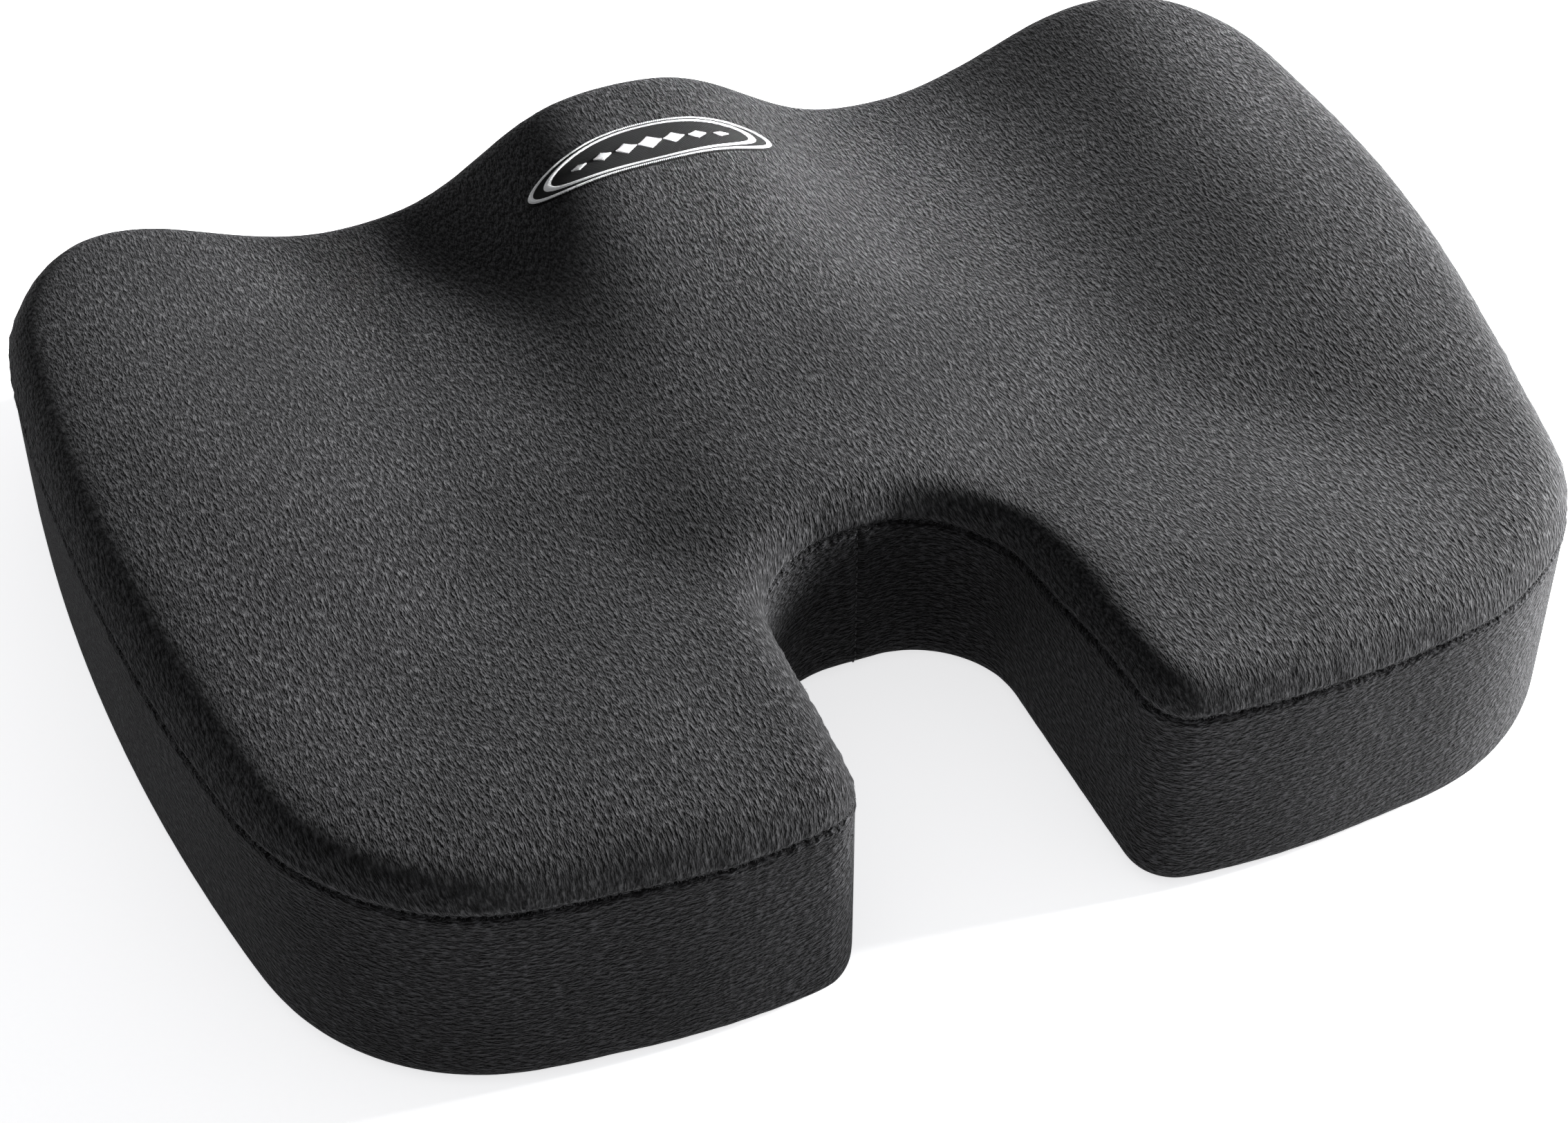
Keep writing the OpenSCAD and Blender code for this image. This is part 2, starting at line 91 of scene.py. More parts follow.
def box_mm(node: str) -> np.ndarray:
    """Gives a CAD node's box at rest.

    Args:
        node: The node's name.

    Returns:
        Its lowest and highest corners, in millimetres.
    """
    return np.array([list(corner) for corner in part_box(node)]) / MM


def unit(v: np.ndarray) -> np.ndarray:
    """Scales vectors to a length of one.

    Args:
        v: Vectors, along the last axis.

    Returns:
        The same directions at length one.
    """
    return v / np.maximum(np.linalg.norm(v, axis=-1, keepdims=True), 1e-12)


def smooth(t: np.ndarray) -> np.ndarray:
    """Eases from 0 to 1.

    Args:
        t: Values, of which those past 0 and 1 are held there.

    Returns:
        The eased values.
    """
    u = np.clip(t, 0, 1)
    return u * u * (3 - 2 * u)


def ripple(s: np.ndarray, lengths: tuple[float, ...], start: float = 0.0) -> np.ndarray:
    """Gives an uneven wave with no repeat over the cushion.

    Args:
        s: Places along a seam, in millimetres.
        lengths: The wave lengths that are mixed, in millimetres.
        start: A shift that makes two ripples differ.

    Returns:
        Values from about -1 to 1.
    """
    waves = [np.sin(2 * math.pi * s / l + start * (i + 1) + i * 1.7) for i, l in enumerate(lengths)]
    return sum(waves) / len(waves)


def new_mesh(
    name: str,
    points: np.ndarray,
    faces: list,
    uv: np.ndarray | None = None,
    shade_smooth: bool = True,
) -> Piece:
    """Makes a mesh object in the scene.

    Args:
        name: The piece's name.
        points: Vertices in millimetres.
        faces: Vertex indices of each face.
        uv: One pair in metres for each corner of each face, in order.
        shade_smooth: Whether the faces are shaded smooth.

    Returns:
        The new object.
    """
    mesh = bpy.data.meshes.new(name)
    mesh.from_pydata((np.asarray(points) * MM).tolist(), [], [list(map(int, f)) for f in faces])
    if uv is not None:
        mesh.uv_layers.new(name="cloth").data.foreach_set("uv", np.asarray(uv, dtype=np.float32).ravel())
    if shade_smooth:
        mesh.shade_smooth()
    mesh.update()
    piece = bpy.data.objects.new(name, mesh)
    bpy.context.scene.collection.objects.link(piece)
    return piece


def shown_mesh(piece: Piece) -> bpy.types.Mesh:
    """Copies a piece's mesh as its modifiers show it.

    Args:
        piece: The object.

    Returns:
        A new mesh, with the cloth coordinates.
    """
    bpy.context.view_layer.update()
    graph = bpy.context.evaluated_depsgraph_get()
    return bpy.data.meshes.new_from_object(
        piece.evaluated_get(graph), preserve_all_data_layers=True, depsgraph=graph
    )


def applied(piece: Piece) -> Piece:
    """Turns a piece's modifiers into mesh.

    Args:
        piece: An object with modifiers.

    Returns:
        The same object, with none.
    """
    mesh = shown_mesh(piece)
    piece.modifiers.clear()
    old = piece.data
    piece.data = mesh
    bpy.data.meshes.remove(old)
    return piece


def thickened(piece: Piece, thickness: float, offset: float = -1) -> Piece:
    """Turns a surface into a closed sheet.

    Args:
        piece: The surface.
        thickness: The sheet's thickness, in millimetres.
        offset: Which side it grows to: -1 behind its faces, or 1 in front of them.

    Returns:
        The same object.
    """
    shell = piece.modifiers.new("thickness", "SOLIDIFY")
    shell.thickness = thickness * MM
    shell.offset = offset
    return applied(piece)


def grid_faces(rows: int, columns: int) -> np.ndarray:
    """Numbers the quads of a grid of points.

    Args:
        rows: How many rows of points there are.
        columns: How many points a row has.

    Returns:
        The four point numbers of each quad.
    """
    i, j = np.meshgrid(np.arange(rows - 1), np.arange(columns - 1), indexing="ij")
    a = (i * columns + j).ravel()
    return np.stack([a, a + 1, a + columns + 1, a + columns], axis=1)


def place(
    piece: Piece,
    body: str,
    material: Material,
    slot: str,
    nodes: tuple[str, ...] = (),
) -> Piece:
    """Gives a piece its finish, the body that it moves with and the nodes it stands for.

    Args:
        piece: The object.
        body: The CAD body it rides on.
        material: Its finish.
        slot: The material slot's name; not used.
        nodes: CAD nodes that it replaces.

    Returns:
        The same object.
    """
    piece.data.materials.clear()
    piece.data.materials.append(material)
    piece.data.polygons.foreach_set("material_index", [0] * len(piece.data.polygons))
    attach(piece, body)
    if nodes:
        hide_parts(*nodes)
    LOG.info("%s: %d faces", piece.name, len(piece.data.polygons))
    return piece


# ------------------------------------------------------------------ finishes


class Graph:
    """Builds the node tree of one material."""

    def __init__(self, name: str) -> None:
        """Starts a material with one shader.

        Args:
            name: The material's name.
        """
        self.material = bpy.data.materials.new(name)
        self.material.use_nodes = True
        self.tree = self.material.node_tree
        self.shader = self.tree.nodes["Principled BSDF"]

    def add(self, kind: str, settings: dict | None = None, inputs: dict | None = None) -> bpy.types.Node:
        """Adds a node.

        Args:
            kind: Blender's name for the node's type.
            settings: The node's own settings.
            inputs: Socket name or number to a value, or to the socket that feeds it.

        Returns:
            The new node.
        """
        node = self.tree.nodes.new(kind)
        for key, value in (settings or {}).items():
            setattr(node, key, value)
        self.feed(node, inputs or {})
        return node

    def feed(self, node: bpy.types.Node, inputs: dict) -> None:
        """Sets or links a node's inputs.

        Args:
            node: The node.
            inputs: Socket name or number to a value, or to the socket that feeds it.
        """
        for key, value in inputs.items():
            if isinstance(value, Socket):
                self.tree.links.new(value, node.inputs[key])
            else:
                node.inputs[key].default_value = value

    def cloth_coordinates(self, size: tuple[float, float, float], turn: float = 0.0) -> Socket:
        """Gives coordinates along the cloth, counted in pattern sizes.

        Args:
            size: The pattern's size along each direction, in millimetres.
            turn: How far the pattern is turned, in degrees.

        Returns:
            The socket with the coordinates.
        """
        uv = self.add("ShaderNodeUVMap", {"uv_map": "cloth"})
        return self.mapped(self.mapped(uv.outputs[0], turn=turn), [1 / (s * MM) for s in size])

    def object_coordinates(self, size: tuple[float, float, float]) -> Socket:
        """Gives coordinates in the frame, counted in pattern sizes.

        Args:
            size: The pattern's size along each axis, in millimetres.

        Returns:
            The socket with the coordinates.
        """
        where = self.add("ShaderNodeTexCoord")
        return self.mapped(where.outputs["Object"], [1 / (s * MM) for s in size])

    def mapped(self, at: Socket, scale: tuple | list = (1, 1, 1), turn: float = 0.0) -> Socket:
        """Scales and turns coordinates.

        Args:
            at: The coordinates.
            scale: The factor along each axis.
            turn: The turn about the third axis, in degrees.

        Returns:
            The socket with the new coordinates.
        """
        inputs = {"Vector": at, "Scale": scale, "Rotation": (0, 0, math.radians(turn))}
        return self.add("ShaderNodeMapping", None, inputs).outputs[0]

    def noise(self, at: Socket, detail: float, roughness: float, bend: float = 0.0) -> Socket:
        """Adds a noise of pattern size one.

        Args:
            at: The coordinates.
            detail: How many finer layers it has.
            roughness: How strong the finer layers are.
            bend: How far the noise is distorted.

        Returns:
            The socket with its value.
        """
        node = self.add(
            "ShaderNodeTexNoise",
            None,
            {"Vector": at, "Scale": 1.0, "Detail": detail, "Roughness": roughness, "Distortion": bend},
        )
        return node.outputs[0]

    def maths(self, what: str, a: object, b: object, c: object = 0.0) -> Socket:
        """Adds a sum, product or other operation on numbers.

        Args:
            what: The operation.
            a: Its first number or socket.
            b: Its second.
            c: Its third, where it has one.

        Returns:
            The socket with the result.
        """
        return self.add("ShaderNodeMath", {"operation": what}, {0: a, 1: b, 2: c}).outputs[0]

    def spread(self, value: Socket, low: float, high: float, ends: tuple[float, float] = (0, 1)) -> Socket:
        """Spreads part of a value's range over another range.

        Args:
            value: The value's socket.
            low: Where the part starts.
            high: Where it stops.
            ends: The values given there.

        Returns:
            The socket with the result.
        """
        inputs = {"Value": value, "From Min": low, "From Max": high, "To Min": ends[0], "To Max": ends[1]}
        return self.add("ShaderNodeMapRange", None, inputs).outputs[0]

    def ramp(self, value: Socket, stops: list[tuple[float, str]]) -> Socket:
        """Turns a value into a colour.

        Args:
            value: The value's socket.
            stops: Places and sRGB colours.

        Returns:
            The socket with the colour.
        """
        node = self.add("ShaderNodeValToRGB", None, {0: value})
        while len(node.color_ramp.elements) < len(stops):
            node.color_ramp.elements.new(0.5)
        for element, (where, colour) in zip(node.color_ramp.elements, stops):
            element.position = where
            element.color = linear(colour)
        return node.outputs[0]

    def mix(self, share: object, a: object, b: object, how: str = "MIX") -> Socket:
        """Mixes two colours.

        Args:
            share: The share of the second.
            a: The first colour.
            b: The second colour.
            how: Blender's name for the way they mix.

        Returns:
            The socket with the colour.
        """
        node = self.add("ShaderNodeMix", {"data_type": "RGBA", "blend_type": how}, {0: share, 6: a, 7: b})
        return node.outputs[2]

    def surface(self, colour: Socket, rough: float, specular: float, sheen: float, fuzz: float) -> None:
        """Gives a cloth or thread its colour and shine.

        Args:
            colour: The colour's socket.
            rough: Its roughness.
            specular: Its specular level.
            sheen: How much sheen it has.
            fuzz: The sheen's roughness.
        """
        self.feed(self.shader, {"Base Color": colour, "Roughness": rough, "Specular IOR Level": specular})
        self.feed(self.shader, {"Sheen Weight": sheen, "Sheen Roughness": fuzz})

    def bump(self, height: Socket, depth: float) -> None:
        """Gives the surface its relief.

        Args:
            height: The relief, from 0 to 1.
            depth: What a height of 1 stands for, in millimetres.
        """
        inputs = {"Strength": 1.0, "Distance": depth * MM, "Height": height}
        node = self.add("ShaderNodeBump", None, inputs)
        self.feed(self.shader, {"Normal": node.outputs[0]})


class Nap(Enum):
    """Which way a velour panel's pile has been brushed."""

    ALONG_SEAT = 0
    ROUND_THE_WALL = 90


@dataclass(frozen=True)
class Velour:
    """Short-pile knitted velour: clumped fibres over a knit backing, with a soft sheen.

    The clump is the width and length of one clump of fibres, and the relief its height, both in
    millimetres. The backing says how much the knit's loops show through.
    """

    name: str
    # Colours from the pile's hollows to its tips; the darkest, in the hollows, is painted shade
    nap: Nap
    deep: str
    middle: str
    tip: str
    sheen: float
    clump: tuple[float, float] = (1.0, 3.1)
    relief: float = 1.6
    backing: float = 0.0

    # Clumps, then tufts in them, then fibres: each one's width and length in clumps, and its share
    LAYERS = ((1.0, 1.0, 0.62), (0.42, 0.5, 0.28), (0.2, 0.4, 0.1))
    # How far the lie of the pile wanders, and over what distance, in millimetres
    SWAY = 2.0
    DRIFT = 40.0
    # The knit's loop, and the patches of brushed and of worn pile, in millimetres
    LOOP = (1.5, 1.25, 1.5)
    BRUSHED = (55, 80, 60)
    WORN = (45, 40, 45)

    def build(self) -> Material:
        """Makes the material.

        Returns:
            The material.
        """
        g = Graph(self.name)
        across, along = self.clump
        drift_at = g.cloth_coordinates((self.DRIFT,) * 3)
        drift = g.add("ShaderNodeTexNoise", None, {"Vector": drift_at, "Scale": 1.0, "Detail": 1.0})
        lay = g.cloth_coordinates((1, 1, 1), self.nap.value)
        sway = g.add(
            "ShaderNodeVectorMath",
            {"operation": "MULTIPLY_ADD"},
            {0: drift.outputs["Color"], 1: (self.SWAY, self.SWAY, 0.0), 2: lay},
        )
        total: object = 0.0
        for wide, long, share in self.LAYERS:
            at = g.mapped(sway.outputs[0], (1 / (across * wide), 1 / (along * long), 1))
            total = g.maths("MULTIPLY_ADD", g.noise(at, 1.0, 0.5, 0.12), share, total)
        pile = g.spread(total, 0.34, 0.66)
        # Colour follows the pile's height: darkest in the hollows between clumps, which is painted shade, and
        # lightest at the clump tips
        colour = g.ramp(pile, [(0.0, self.deep), (0.5, self.middle), (1.0, self.tip)])
        brushed = g.noise(g.cloth_coordinates(self.BRUSHED), 3.0, 0.55, 0.5)
        shade = g.ramp(brushed, [(0.3, "#cfcfcf"), (0.7, "#ffffff")])
        colour = g.mix(1.0, colour, shade, "MULTIPLY")
        if self.backing:
            inputs = {"Vector": g.cloth_coordinates(self.LOOP), "Scale": 1.0, "Randomness": 0.12}
            loops = g.add("ShaderNodeTexVoronoi", None, inputs)
            worn = g.noise(g.cloth_coordinates(self.WORN), 1.0, 0.5)
            where = g.ramp(worn, [(0.5, "#000000"), (0.62, "#ffffff")])
            spot = g.ramp(loops.outputs["Distance"], [(0.18, "#ffffff"), (0.42, "#909090")])
            share = g.maths("MULTIPLY", where, self.backing)
            colour = g.mix(share, colour, g.mix(1.0, colour, spot, "MULTIPLY"))
        g.surface(colour, 0.82, 0.06, self.sheen, 0.42)
        g.shader.inputs["Sheen Tint"].default_value = linear("#d8d8dc")
        g.bump(pile, self.relief)
        return g.material


@dataclass(frozen=True)
class Woven:
    """Plain-woven or twill cloth: crossing yarns, set at a real thread spacing."""

    name: str
    dark: str
    light: str
    yarn: float
    slant: float = 0.0
    gloss: float = 0.75
    sheen: float = 0.04
    specular: float = 0.15

    def build(self) -> Material:
        """Makes the material.

        Returns:
            The material.
        """
        g = Graph(self.name)
        at = g.object_coordinates((self.yarn, self.yarn, self.yarn))
        turned = g.mapped(at, turn=self.slant)
        bands = [
            g.add(
                "ShaderNodeTexWave",
                {"bands_direction": way, "wave_profile": "SIN"},
                {"Vector": turned, "Scale": ONE_RIDGE, "Distortion": 0.5, "Detail": 1.0},
            )
            for way in ("X", "Y")
        ]
        weave = g.maths("MULTIPLY", bands[0].outputs[1], bands[1].outputs[1])
        worn = g.noise(g.object_coordinates((18, 18, 18)), 3.0, 0.6)
        yarns = g.maths("MULTIPLY_ADD", worn, 0.3, weave)
        colour = g.ramp(yarns, [(0.1, self.dark), (0.9, self.light)])
        g.surface(colour, self.gloss, self.specular, self.sheen, 0.4)
        g.bump(weave, 0.25)
        return g.material


@dataclass(frozen=True)
class Stitched:
    """Twisted or satin-laid thread: fine ridges along the thread's own direction."""

    name: str
    dark: str
    light: str
    ply: float
    gloss: float = 0.45
    sheen: float = 0.3

    def build(self) -> Material:
        """Makes the material.

        Returns:
            The material.
        """
        g = Graph(self.name)
        at = g.object_coordinates((self.ply, self.ply, self.ply))
        ply = g.add(
            "ShaderNodeTexWave",
            {"bands_direction": "DIAGONAL"},
            {"Vector": at, "Scale": ONE_RIDGE, "Distortion": 1.5, "Detail": 2.0},
        )
        fuzz = g.noise(g.object_coordinates((0.4, 0.4, 0.4)), 2.0, 0.6)
        height = g.maths("MULTIPLY_ADD", fuzz, 0.4, ply.outputs[1])
        colour = g.ramp(height, [(0.2, self.dark), (1.0, self.light)])
        g.surface(colour, self.gloss, 0.2, self.sheen, 0.3)
        g.bump(height, 0.18)
        return g.material


@dataclass(frozen=True)
class Solid:
    """A moulded, cast or foamed solid with fine grain and a little wear."""

    name: str
    base: str
    worn: str
    grain: float
    rough: tuple[float, float]
    relief: float
    metallic: float = 0.0
    coat: float = 0.0

    def build(self) -> Material:
        """Makes the material.

        Returns:
            The material.
        """
        g = Graph(self.name)
        fine = g.noise(g.object_coordinates((self.grain,) * 3), 3.0, 0.6)
        broad = g.noise(g.object_coordinates((self.grain * 12,) * 3), 2.0, 0.5)
        mixed = g.maths("MULTIPLY_ADD", broad, 0.5, g.maths("MULTIPLY", fine, 0.5))
        g.feed(
            g.shader,
            {
                "Base Color": g.ramp(mixed, [(0.35, self.base), (0.7, self.worn)]),
                "Roughness": g.spread(mixed, 0.3, 0.7, self.rough),
                "Metallic": self.metallic,
                "Coat Weight": self.coat,
            },
        )
        g.bump(fine, self.relief)
        return g.material


# Charcoal velour of the seat, its pile brushed from the pommel to the rear
SEAT_VELOUR = Velour("seat_velour", Nap.ALONG_SEAT, "#080808", "#1f1f20", "#434344", 0.1)
# The same velour on the boxing, brushed round the wall, with some knit backing showing; its colours are
# darker than the seat's, painted shade for walls that get less light than the seat
WALL_VELOUR = Velour(
    "wall_velour", Nap.ROUND_THE_WALL, "#030303", "#131314", "#38383a", 0.07,
    clump=(1.15, 2.9), relief=2.0, backing=0.6,
)
# Loose pile fibres that stand over the seam
PILE_FIBRE = Stitched("pile_fibre", "#161617", "#363638", 0.6, 0.85, 0.1)
# Flat knitted polyester under the cushion
BASE_KNIT = Woven("base_knit", "#101011", "#2a2a2c", 0.9)
# Open-cell polyurethane foam
FOAM = Solid("polyurethane_foam", "#d9d0b4", "#efe8d2", 0.8, (0.85, 0.98), 0.5)
# Silicone-rubber grip dots
GRIP_RUBBER = Solid("grip_rubber", "#0f0f10", "#1c1c1e", 0.5, (0.35, 0.6), 0.03)
# Black spun-polyester sewing thread
SEWING_THREAD = Stitched("sewing_thread", "#0d0d0e", "#2e2e30", 0.7, sheen=0.1)
# Blank satin ribbon of the care label
LABEL_SATIN = Woven("label_satin", "#b9b8b3", "#e4e3de", 0.35, gloss=0.4, sheen=0.4)
# Woven polyester zip tape
ZIP_TAPE = Woven("zip_tape", "#0e0e0f", "#242426", 0.6)
# Nylon monofilament of the zip's coils
ZIP_NYLON = Solid("zip_nylon", "#0c0c0d", "#1a1a1b", 0.3, (0.28, 0.4), 0.01)
# Black enamel over die-cast zinc
ZIP_ENAMEL = Solid("zip_enamel", "#111113", "#2b2b2e", 0.6, (0.22, 0.38), 0.02, 0.4, 0.5)
# Black twill ground of the patch
PATCH_TWILL = Woven("patch_twill", "#030303", "#101011", 0.55, slant=45, sheen=0.0)
# Silver-grey embroidery thread
PATCH_SILVER = Stitched("patch_silver", "#d2d3d5", "#ffffff", 0.45, 0.4)


# ------------------------------------------------------------------ the cushion's form


class Panel(Enum):
    """The panels that the cover is cut from, and the gap that shows the zip."""

    TOP = 0
    LEFT = 1
    RIGHT = 2
    FRONT_UPPER = 3
    FRONT_LOWER = 4
    ZIP_GAP = 5
    BASE = 6


@dataclass(frozen=True)
class Contour:
    """Outline and seat contour, in millimetres, with the front wall and width from the frame."""

    front_y: float
    rear_y: float
    half_w: float
    floor_z: float
    zip_low: float
    zip_high: float
    trough_h: float = 41
    bowl_h: float = 61
    rear_h: float = 84
    side_h: float = 81
    wing_h: float = 72.5
    pommel_h: float = 75
    spine_mid_h: float = 67
    spine_rear_h: float = 73
    ridge_w: float = 55
    ridge_power: float = 3
    roll_r: float = 12
    under_r: float = 6

    @property
    def lobe_x(self) -> float:
        """The x of each rear lobe's hindmost corner, without its sign."""
        return self.half_w - 139

    def corners(self) -> list[tuple[float, float, float]]:
        """Lists the outline's corners, anticlockwise from the notch.

        Returns:
            Each corner's x, y and rounding radius.
        """
        right = [
            (39, self.rear_y + 120, 34),
            (44.5, self.rear_y + 4, 16),
            (self.lobe_x, self.rear_y - 0.7, 240),
            (self.half_w - 31, self.rear_y + 10, 77),
            (self.half_w + 3.4, self.rear_y + 165, 700),
            (self.half_w - 6, self.front_y, 72),
        ]
        return right + [(-x, y, r) for x, y, r in reversed(right)]

    def outline(self, steps: int = 40) -> np.ndarray:
        """Rounds the corners.

        Args:
            steps: Steps along each rounding.

        Returns:
            The points of the outline.
        """
        corners = self.corners()
        points = []
        for i, (x, y, radius) in enumerate(corners):
            at = np.array([x, y])
            a = unit(np.array(corners[i - 1][:2]) - at)
            b = unit(np.array(corners[(i + 1) % len(corners)][:2]) - at)
            half = math.acos(float(a @ b)) / 2
            centre = at + unit(a + b) * radius / math.sin(half)
            first, last = (at + side * radius / math.tan(half) - centre for side in (a, b))
            start = math.atan2(first[1], first[0])
            sweep = (math.atan2(last[1], last[0]) - start + 3 * math.pi) % (2 * math.pi) - math.pi
            turn = start + sweep * np.linspace(0, 1, steps + 1)
            points.append(centre + radius * np.stack([np.cos(turn), np.sin(turn)], axis=1))
        return np.concatenate(points)

    def seat(self, p: np.ndarray) -> np.ndarray:
        """Gives the seat's height before its edge rolls over.

        Args:
            p: Points in plan.

        Returns:
            The height at each point.
        """
        x, y = p[..., 0], p[..., 1]
        # Each ease starts at one place in plan and is done a given distance further on
        bed = self.trough_h + (self.bowl_h - self.trough_h) * smooth((160 - y) / 200)
        rim = self.side_h + (self.wing_h - self.side_h) * smooth((y + 10) / 150)
        side = np.maximum(rim - bed, 0) * smooth((np.abs(x) - 100) / 105)
        rear = (self.rear_h - self.bowl_h) * smooth((-y - 20) / 140)
        spine = self.spine_rear_h + (self.spine_mid_h - self.spine_rear_h) * smooth((y + 60) / 80)
        ridge = spine + (self.pommel_h - spine) * smooth((y - 30) / 120)
        middle = np.maximum(ridge - bed, 0) * np.exp(-((np.abs(x) / self.ridge_w) ** self.ridge_power))
        return bed + (side**4 + rear**4 + middle**4) ** 0.25


@dataclass
class Form:
    """The cover as one closed surface of quads, with each face's panel."""

    contour: Contour
    stations: int = 100
    columns: int = 18
    cap: float = 30.0
    zip_bay: float = 137.0
    roll_turns: tuple[float, ...] = (90, 65, 40, 15, 0)
    first_row: float = 3.0
    rows_to_zip: int = 5
    under_turns: tuple[float, ...] = (0, 30, 60, 90)
    wall: np.ndarray = field(init=False)
    inward: np.ndarray = field(init=False)
    along: np.ndarray = field(init=False)

    def __post_init__(self) -> None:
        """Walks the outline: the outer run, a rear lobe, the notch, and the other rear lobe."""
        outline = self.contour.outline()
        closed = np.concatenate([outline, outline[:1]])
        steps = np.linalg.norm(np.diff(closed, axis=0), axis=1)
        lengths = np.concatenate([[0], np.cumsum(steps)])
        total = lengths[-1]
        rear_right = np.where((outline[:, 1] < self.contour.rear_y + 30) & (outline[:, 0] > 0))[0]
        right = lengths[rear_right[np.argmin(np.abs(outline[rear_right, 0] - self.contour.lobe_x))]]
        left = total - 2 * outline[0, 0] - right
        turn = np.linspace(0, 1, self.stations + 1)
        over_cap = np.linspace(-1, 1, self.columns + 1)[1:-1] * self.cap
        places = np.concatenate(
            [
                right + self.cap + (left - right - 2 * self.cap) * turn,
                left + over_cap,
                left + self.cap + (total + right - left - 2 * self.cap) * turn,
                total + right + over_cap,
            ]
        )
        wrapped = places % total
        self.wall = np.stack([np.interp(wrapped, lengths, closed[:, i]) for i in (0, 1)], axis=1)
        tangent = unit(np.roll(self.wall, -1, axis=0) - np.roll(self.wall, 1, axis=0))
        self.inward = np.stack([-tangent[:, 1], tangent[:, 0]], axis=1)
        self.along = np.append(places - places[0], total)

    @property
    def seam_ring(self) -> int:
        """The ring of the top seam."""
        return len(self.roll_turns) - 1

    def rings(self) -> tuple[list[np.ndarray], list[np.ndarray]]:
        """Makes the rings from the seat's edge down to the base.

        Returns:
            Each ring's points, and each ring's flattened cloth coordinates.
        """
        c = self.contour
        points, cloth = [], []
        edge = self.wall + self.inward * c.roll_r
        for turn in self.roll_turns:
            a = math.radians(turn)
            plan = self.wall + self.inward * c.roll_r * (1 - math.cos(a))
            z = c.seat(plan) - c.roll_r * (1 - math.sin(a))
            points.append(np.column_stack([plan, z]))
            cloth.append(edge - self.inward * c.roll_r * (math.pi / 2 - a))
        seam = points[-1][:, 2]
        shares = np.linspace(0, 1, self.rows_to_zip + 1)
        below = seam - self.first_row
        levels = [seam] + [below + (c.zip_high - below) * s for s in shares]
        levels += [np.full_like(seam, z) for z in (c.zip_low, (c.zip_low + c.under_r) / 2)]
        for level in levels[1:]:
            points.append(np.column_stack([self.wall, level]))
            cloth.append(level)
        for turn in self.under_turns:
            a = math.radians(turn)
            plan = self.wall + self.inward * c.under_r * (1 - math.cos(a))
            height = c.floor_z + c.under_r * (1 - math.sin(a))
            points.append(np.column_stack([plan, np.full_like(seam, height)]))
            cloth.append(np.full_like(seam, c.floor_z + c.under_r * (1 - a)))
        return points, [seam if i == self.seam_ring else value for i, value in enumerate(cloth)]

    def inside(self, ring: np.ndarray) -> np.ndarray:
        """Fills a ring with points on the lines that join the outer run to the notch's run.

        Args:
            ring: The ring's points.

        Returns:
            The points inside it, station by station.
        """
        s, m = self.stations, self.columns
        outer = ring[1:s]
        inner = ring[2 * s + m - 1 : s + m : -1]
        share = (np.arange(1, m) / m)[None, :, None]
        return (inner[:, None] + (outer - inner)[:, None] * share).reshape(-1, ring.shape[1])

    def cell(self, i: int, j: int, ring_at: int, inside_at: int) -> int:
        """Numbers a point of a filled ring.

        Args:
            i: Its station.
            j: Its column.
            ring_at: The number of the ring's first point.
            inside_at: The number of the first point inside.

        Returns:
            The point's number.
        """
        s, m = self.stations, self.columns
        if j == m:
            return ring_at + i
        if j == 0:
            return ring_at + 2 * s + m - i
        if i == 0:
            return ring_at + 2 * s + m + j
        if i == s:
            return ring_at + s + m - j
        return inside_at + (i - 1) * (m - 1) + j - 1

    def panel(self, ring: int, k: int) -> Panel:
        """Says which panel a face between two rings belongs to.

        Args:
            ring: The upper ring.
            k: The face's place round the wall.

        Returns:
            The panel.
        """
        if ring < self.seam_ring:
            return Panel.TOP
        s, m = self.stations, self.columns
        middle = (self.wall[k] + self.wall[(k + 1) % len(self.wall)]) / 2
        gap_ring = self.seam_ring + 1 + self.rows_to_zip
        if k < s and middle[1] > self.contour.front_y - 1 and abs(middle[0]) < self.zip_bay:
            if ring == gap_ring:
                return Panel.ZIP_GAP
            return Panel.FRONT_UPPER if ring < gap_ring else Panel.FRONT_LOWER
        return Panel.LEFT if s // 2 <= k < s + m + s // 2 else Panel.RIGHT

    def build(self) -> tuple[Piece, list[int]]:
        """Makes the closed surface.

        Returns:
            The object, and the points that are sewn down or lie on the floor.
        """
        rings, cloth = self.rings()
        n = len(self.wall)
        top_in = self.inside(rings[0][:, :2])
        base_in = self.inside(rings[-1][:, :2])
        points = np.concatenate(
            rings
            + [np.column_stack([top_in, self.contour.seat(top_in)])]
            + [np.column_stack([base_in, np.full(len(base_in), self.contour.floor_z)])]
        )
        top_at, base_ring = len(rings) * n, (len(rings) - 1) * n
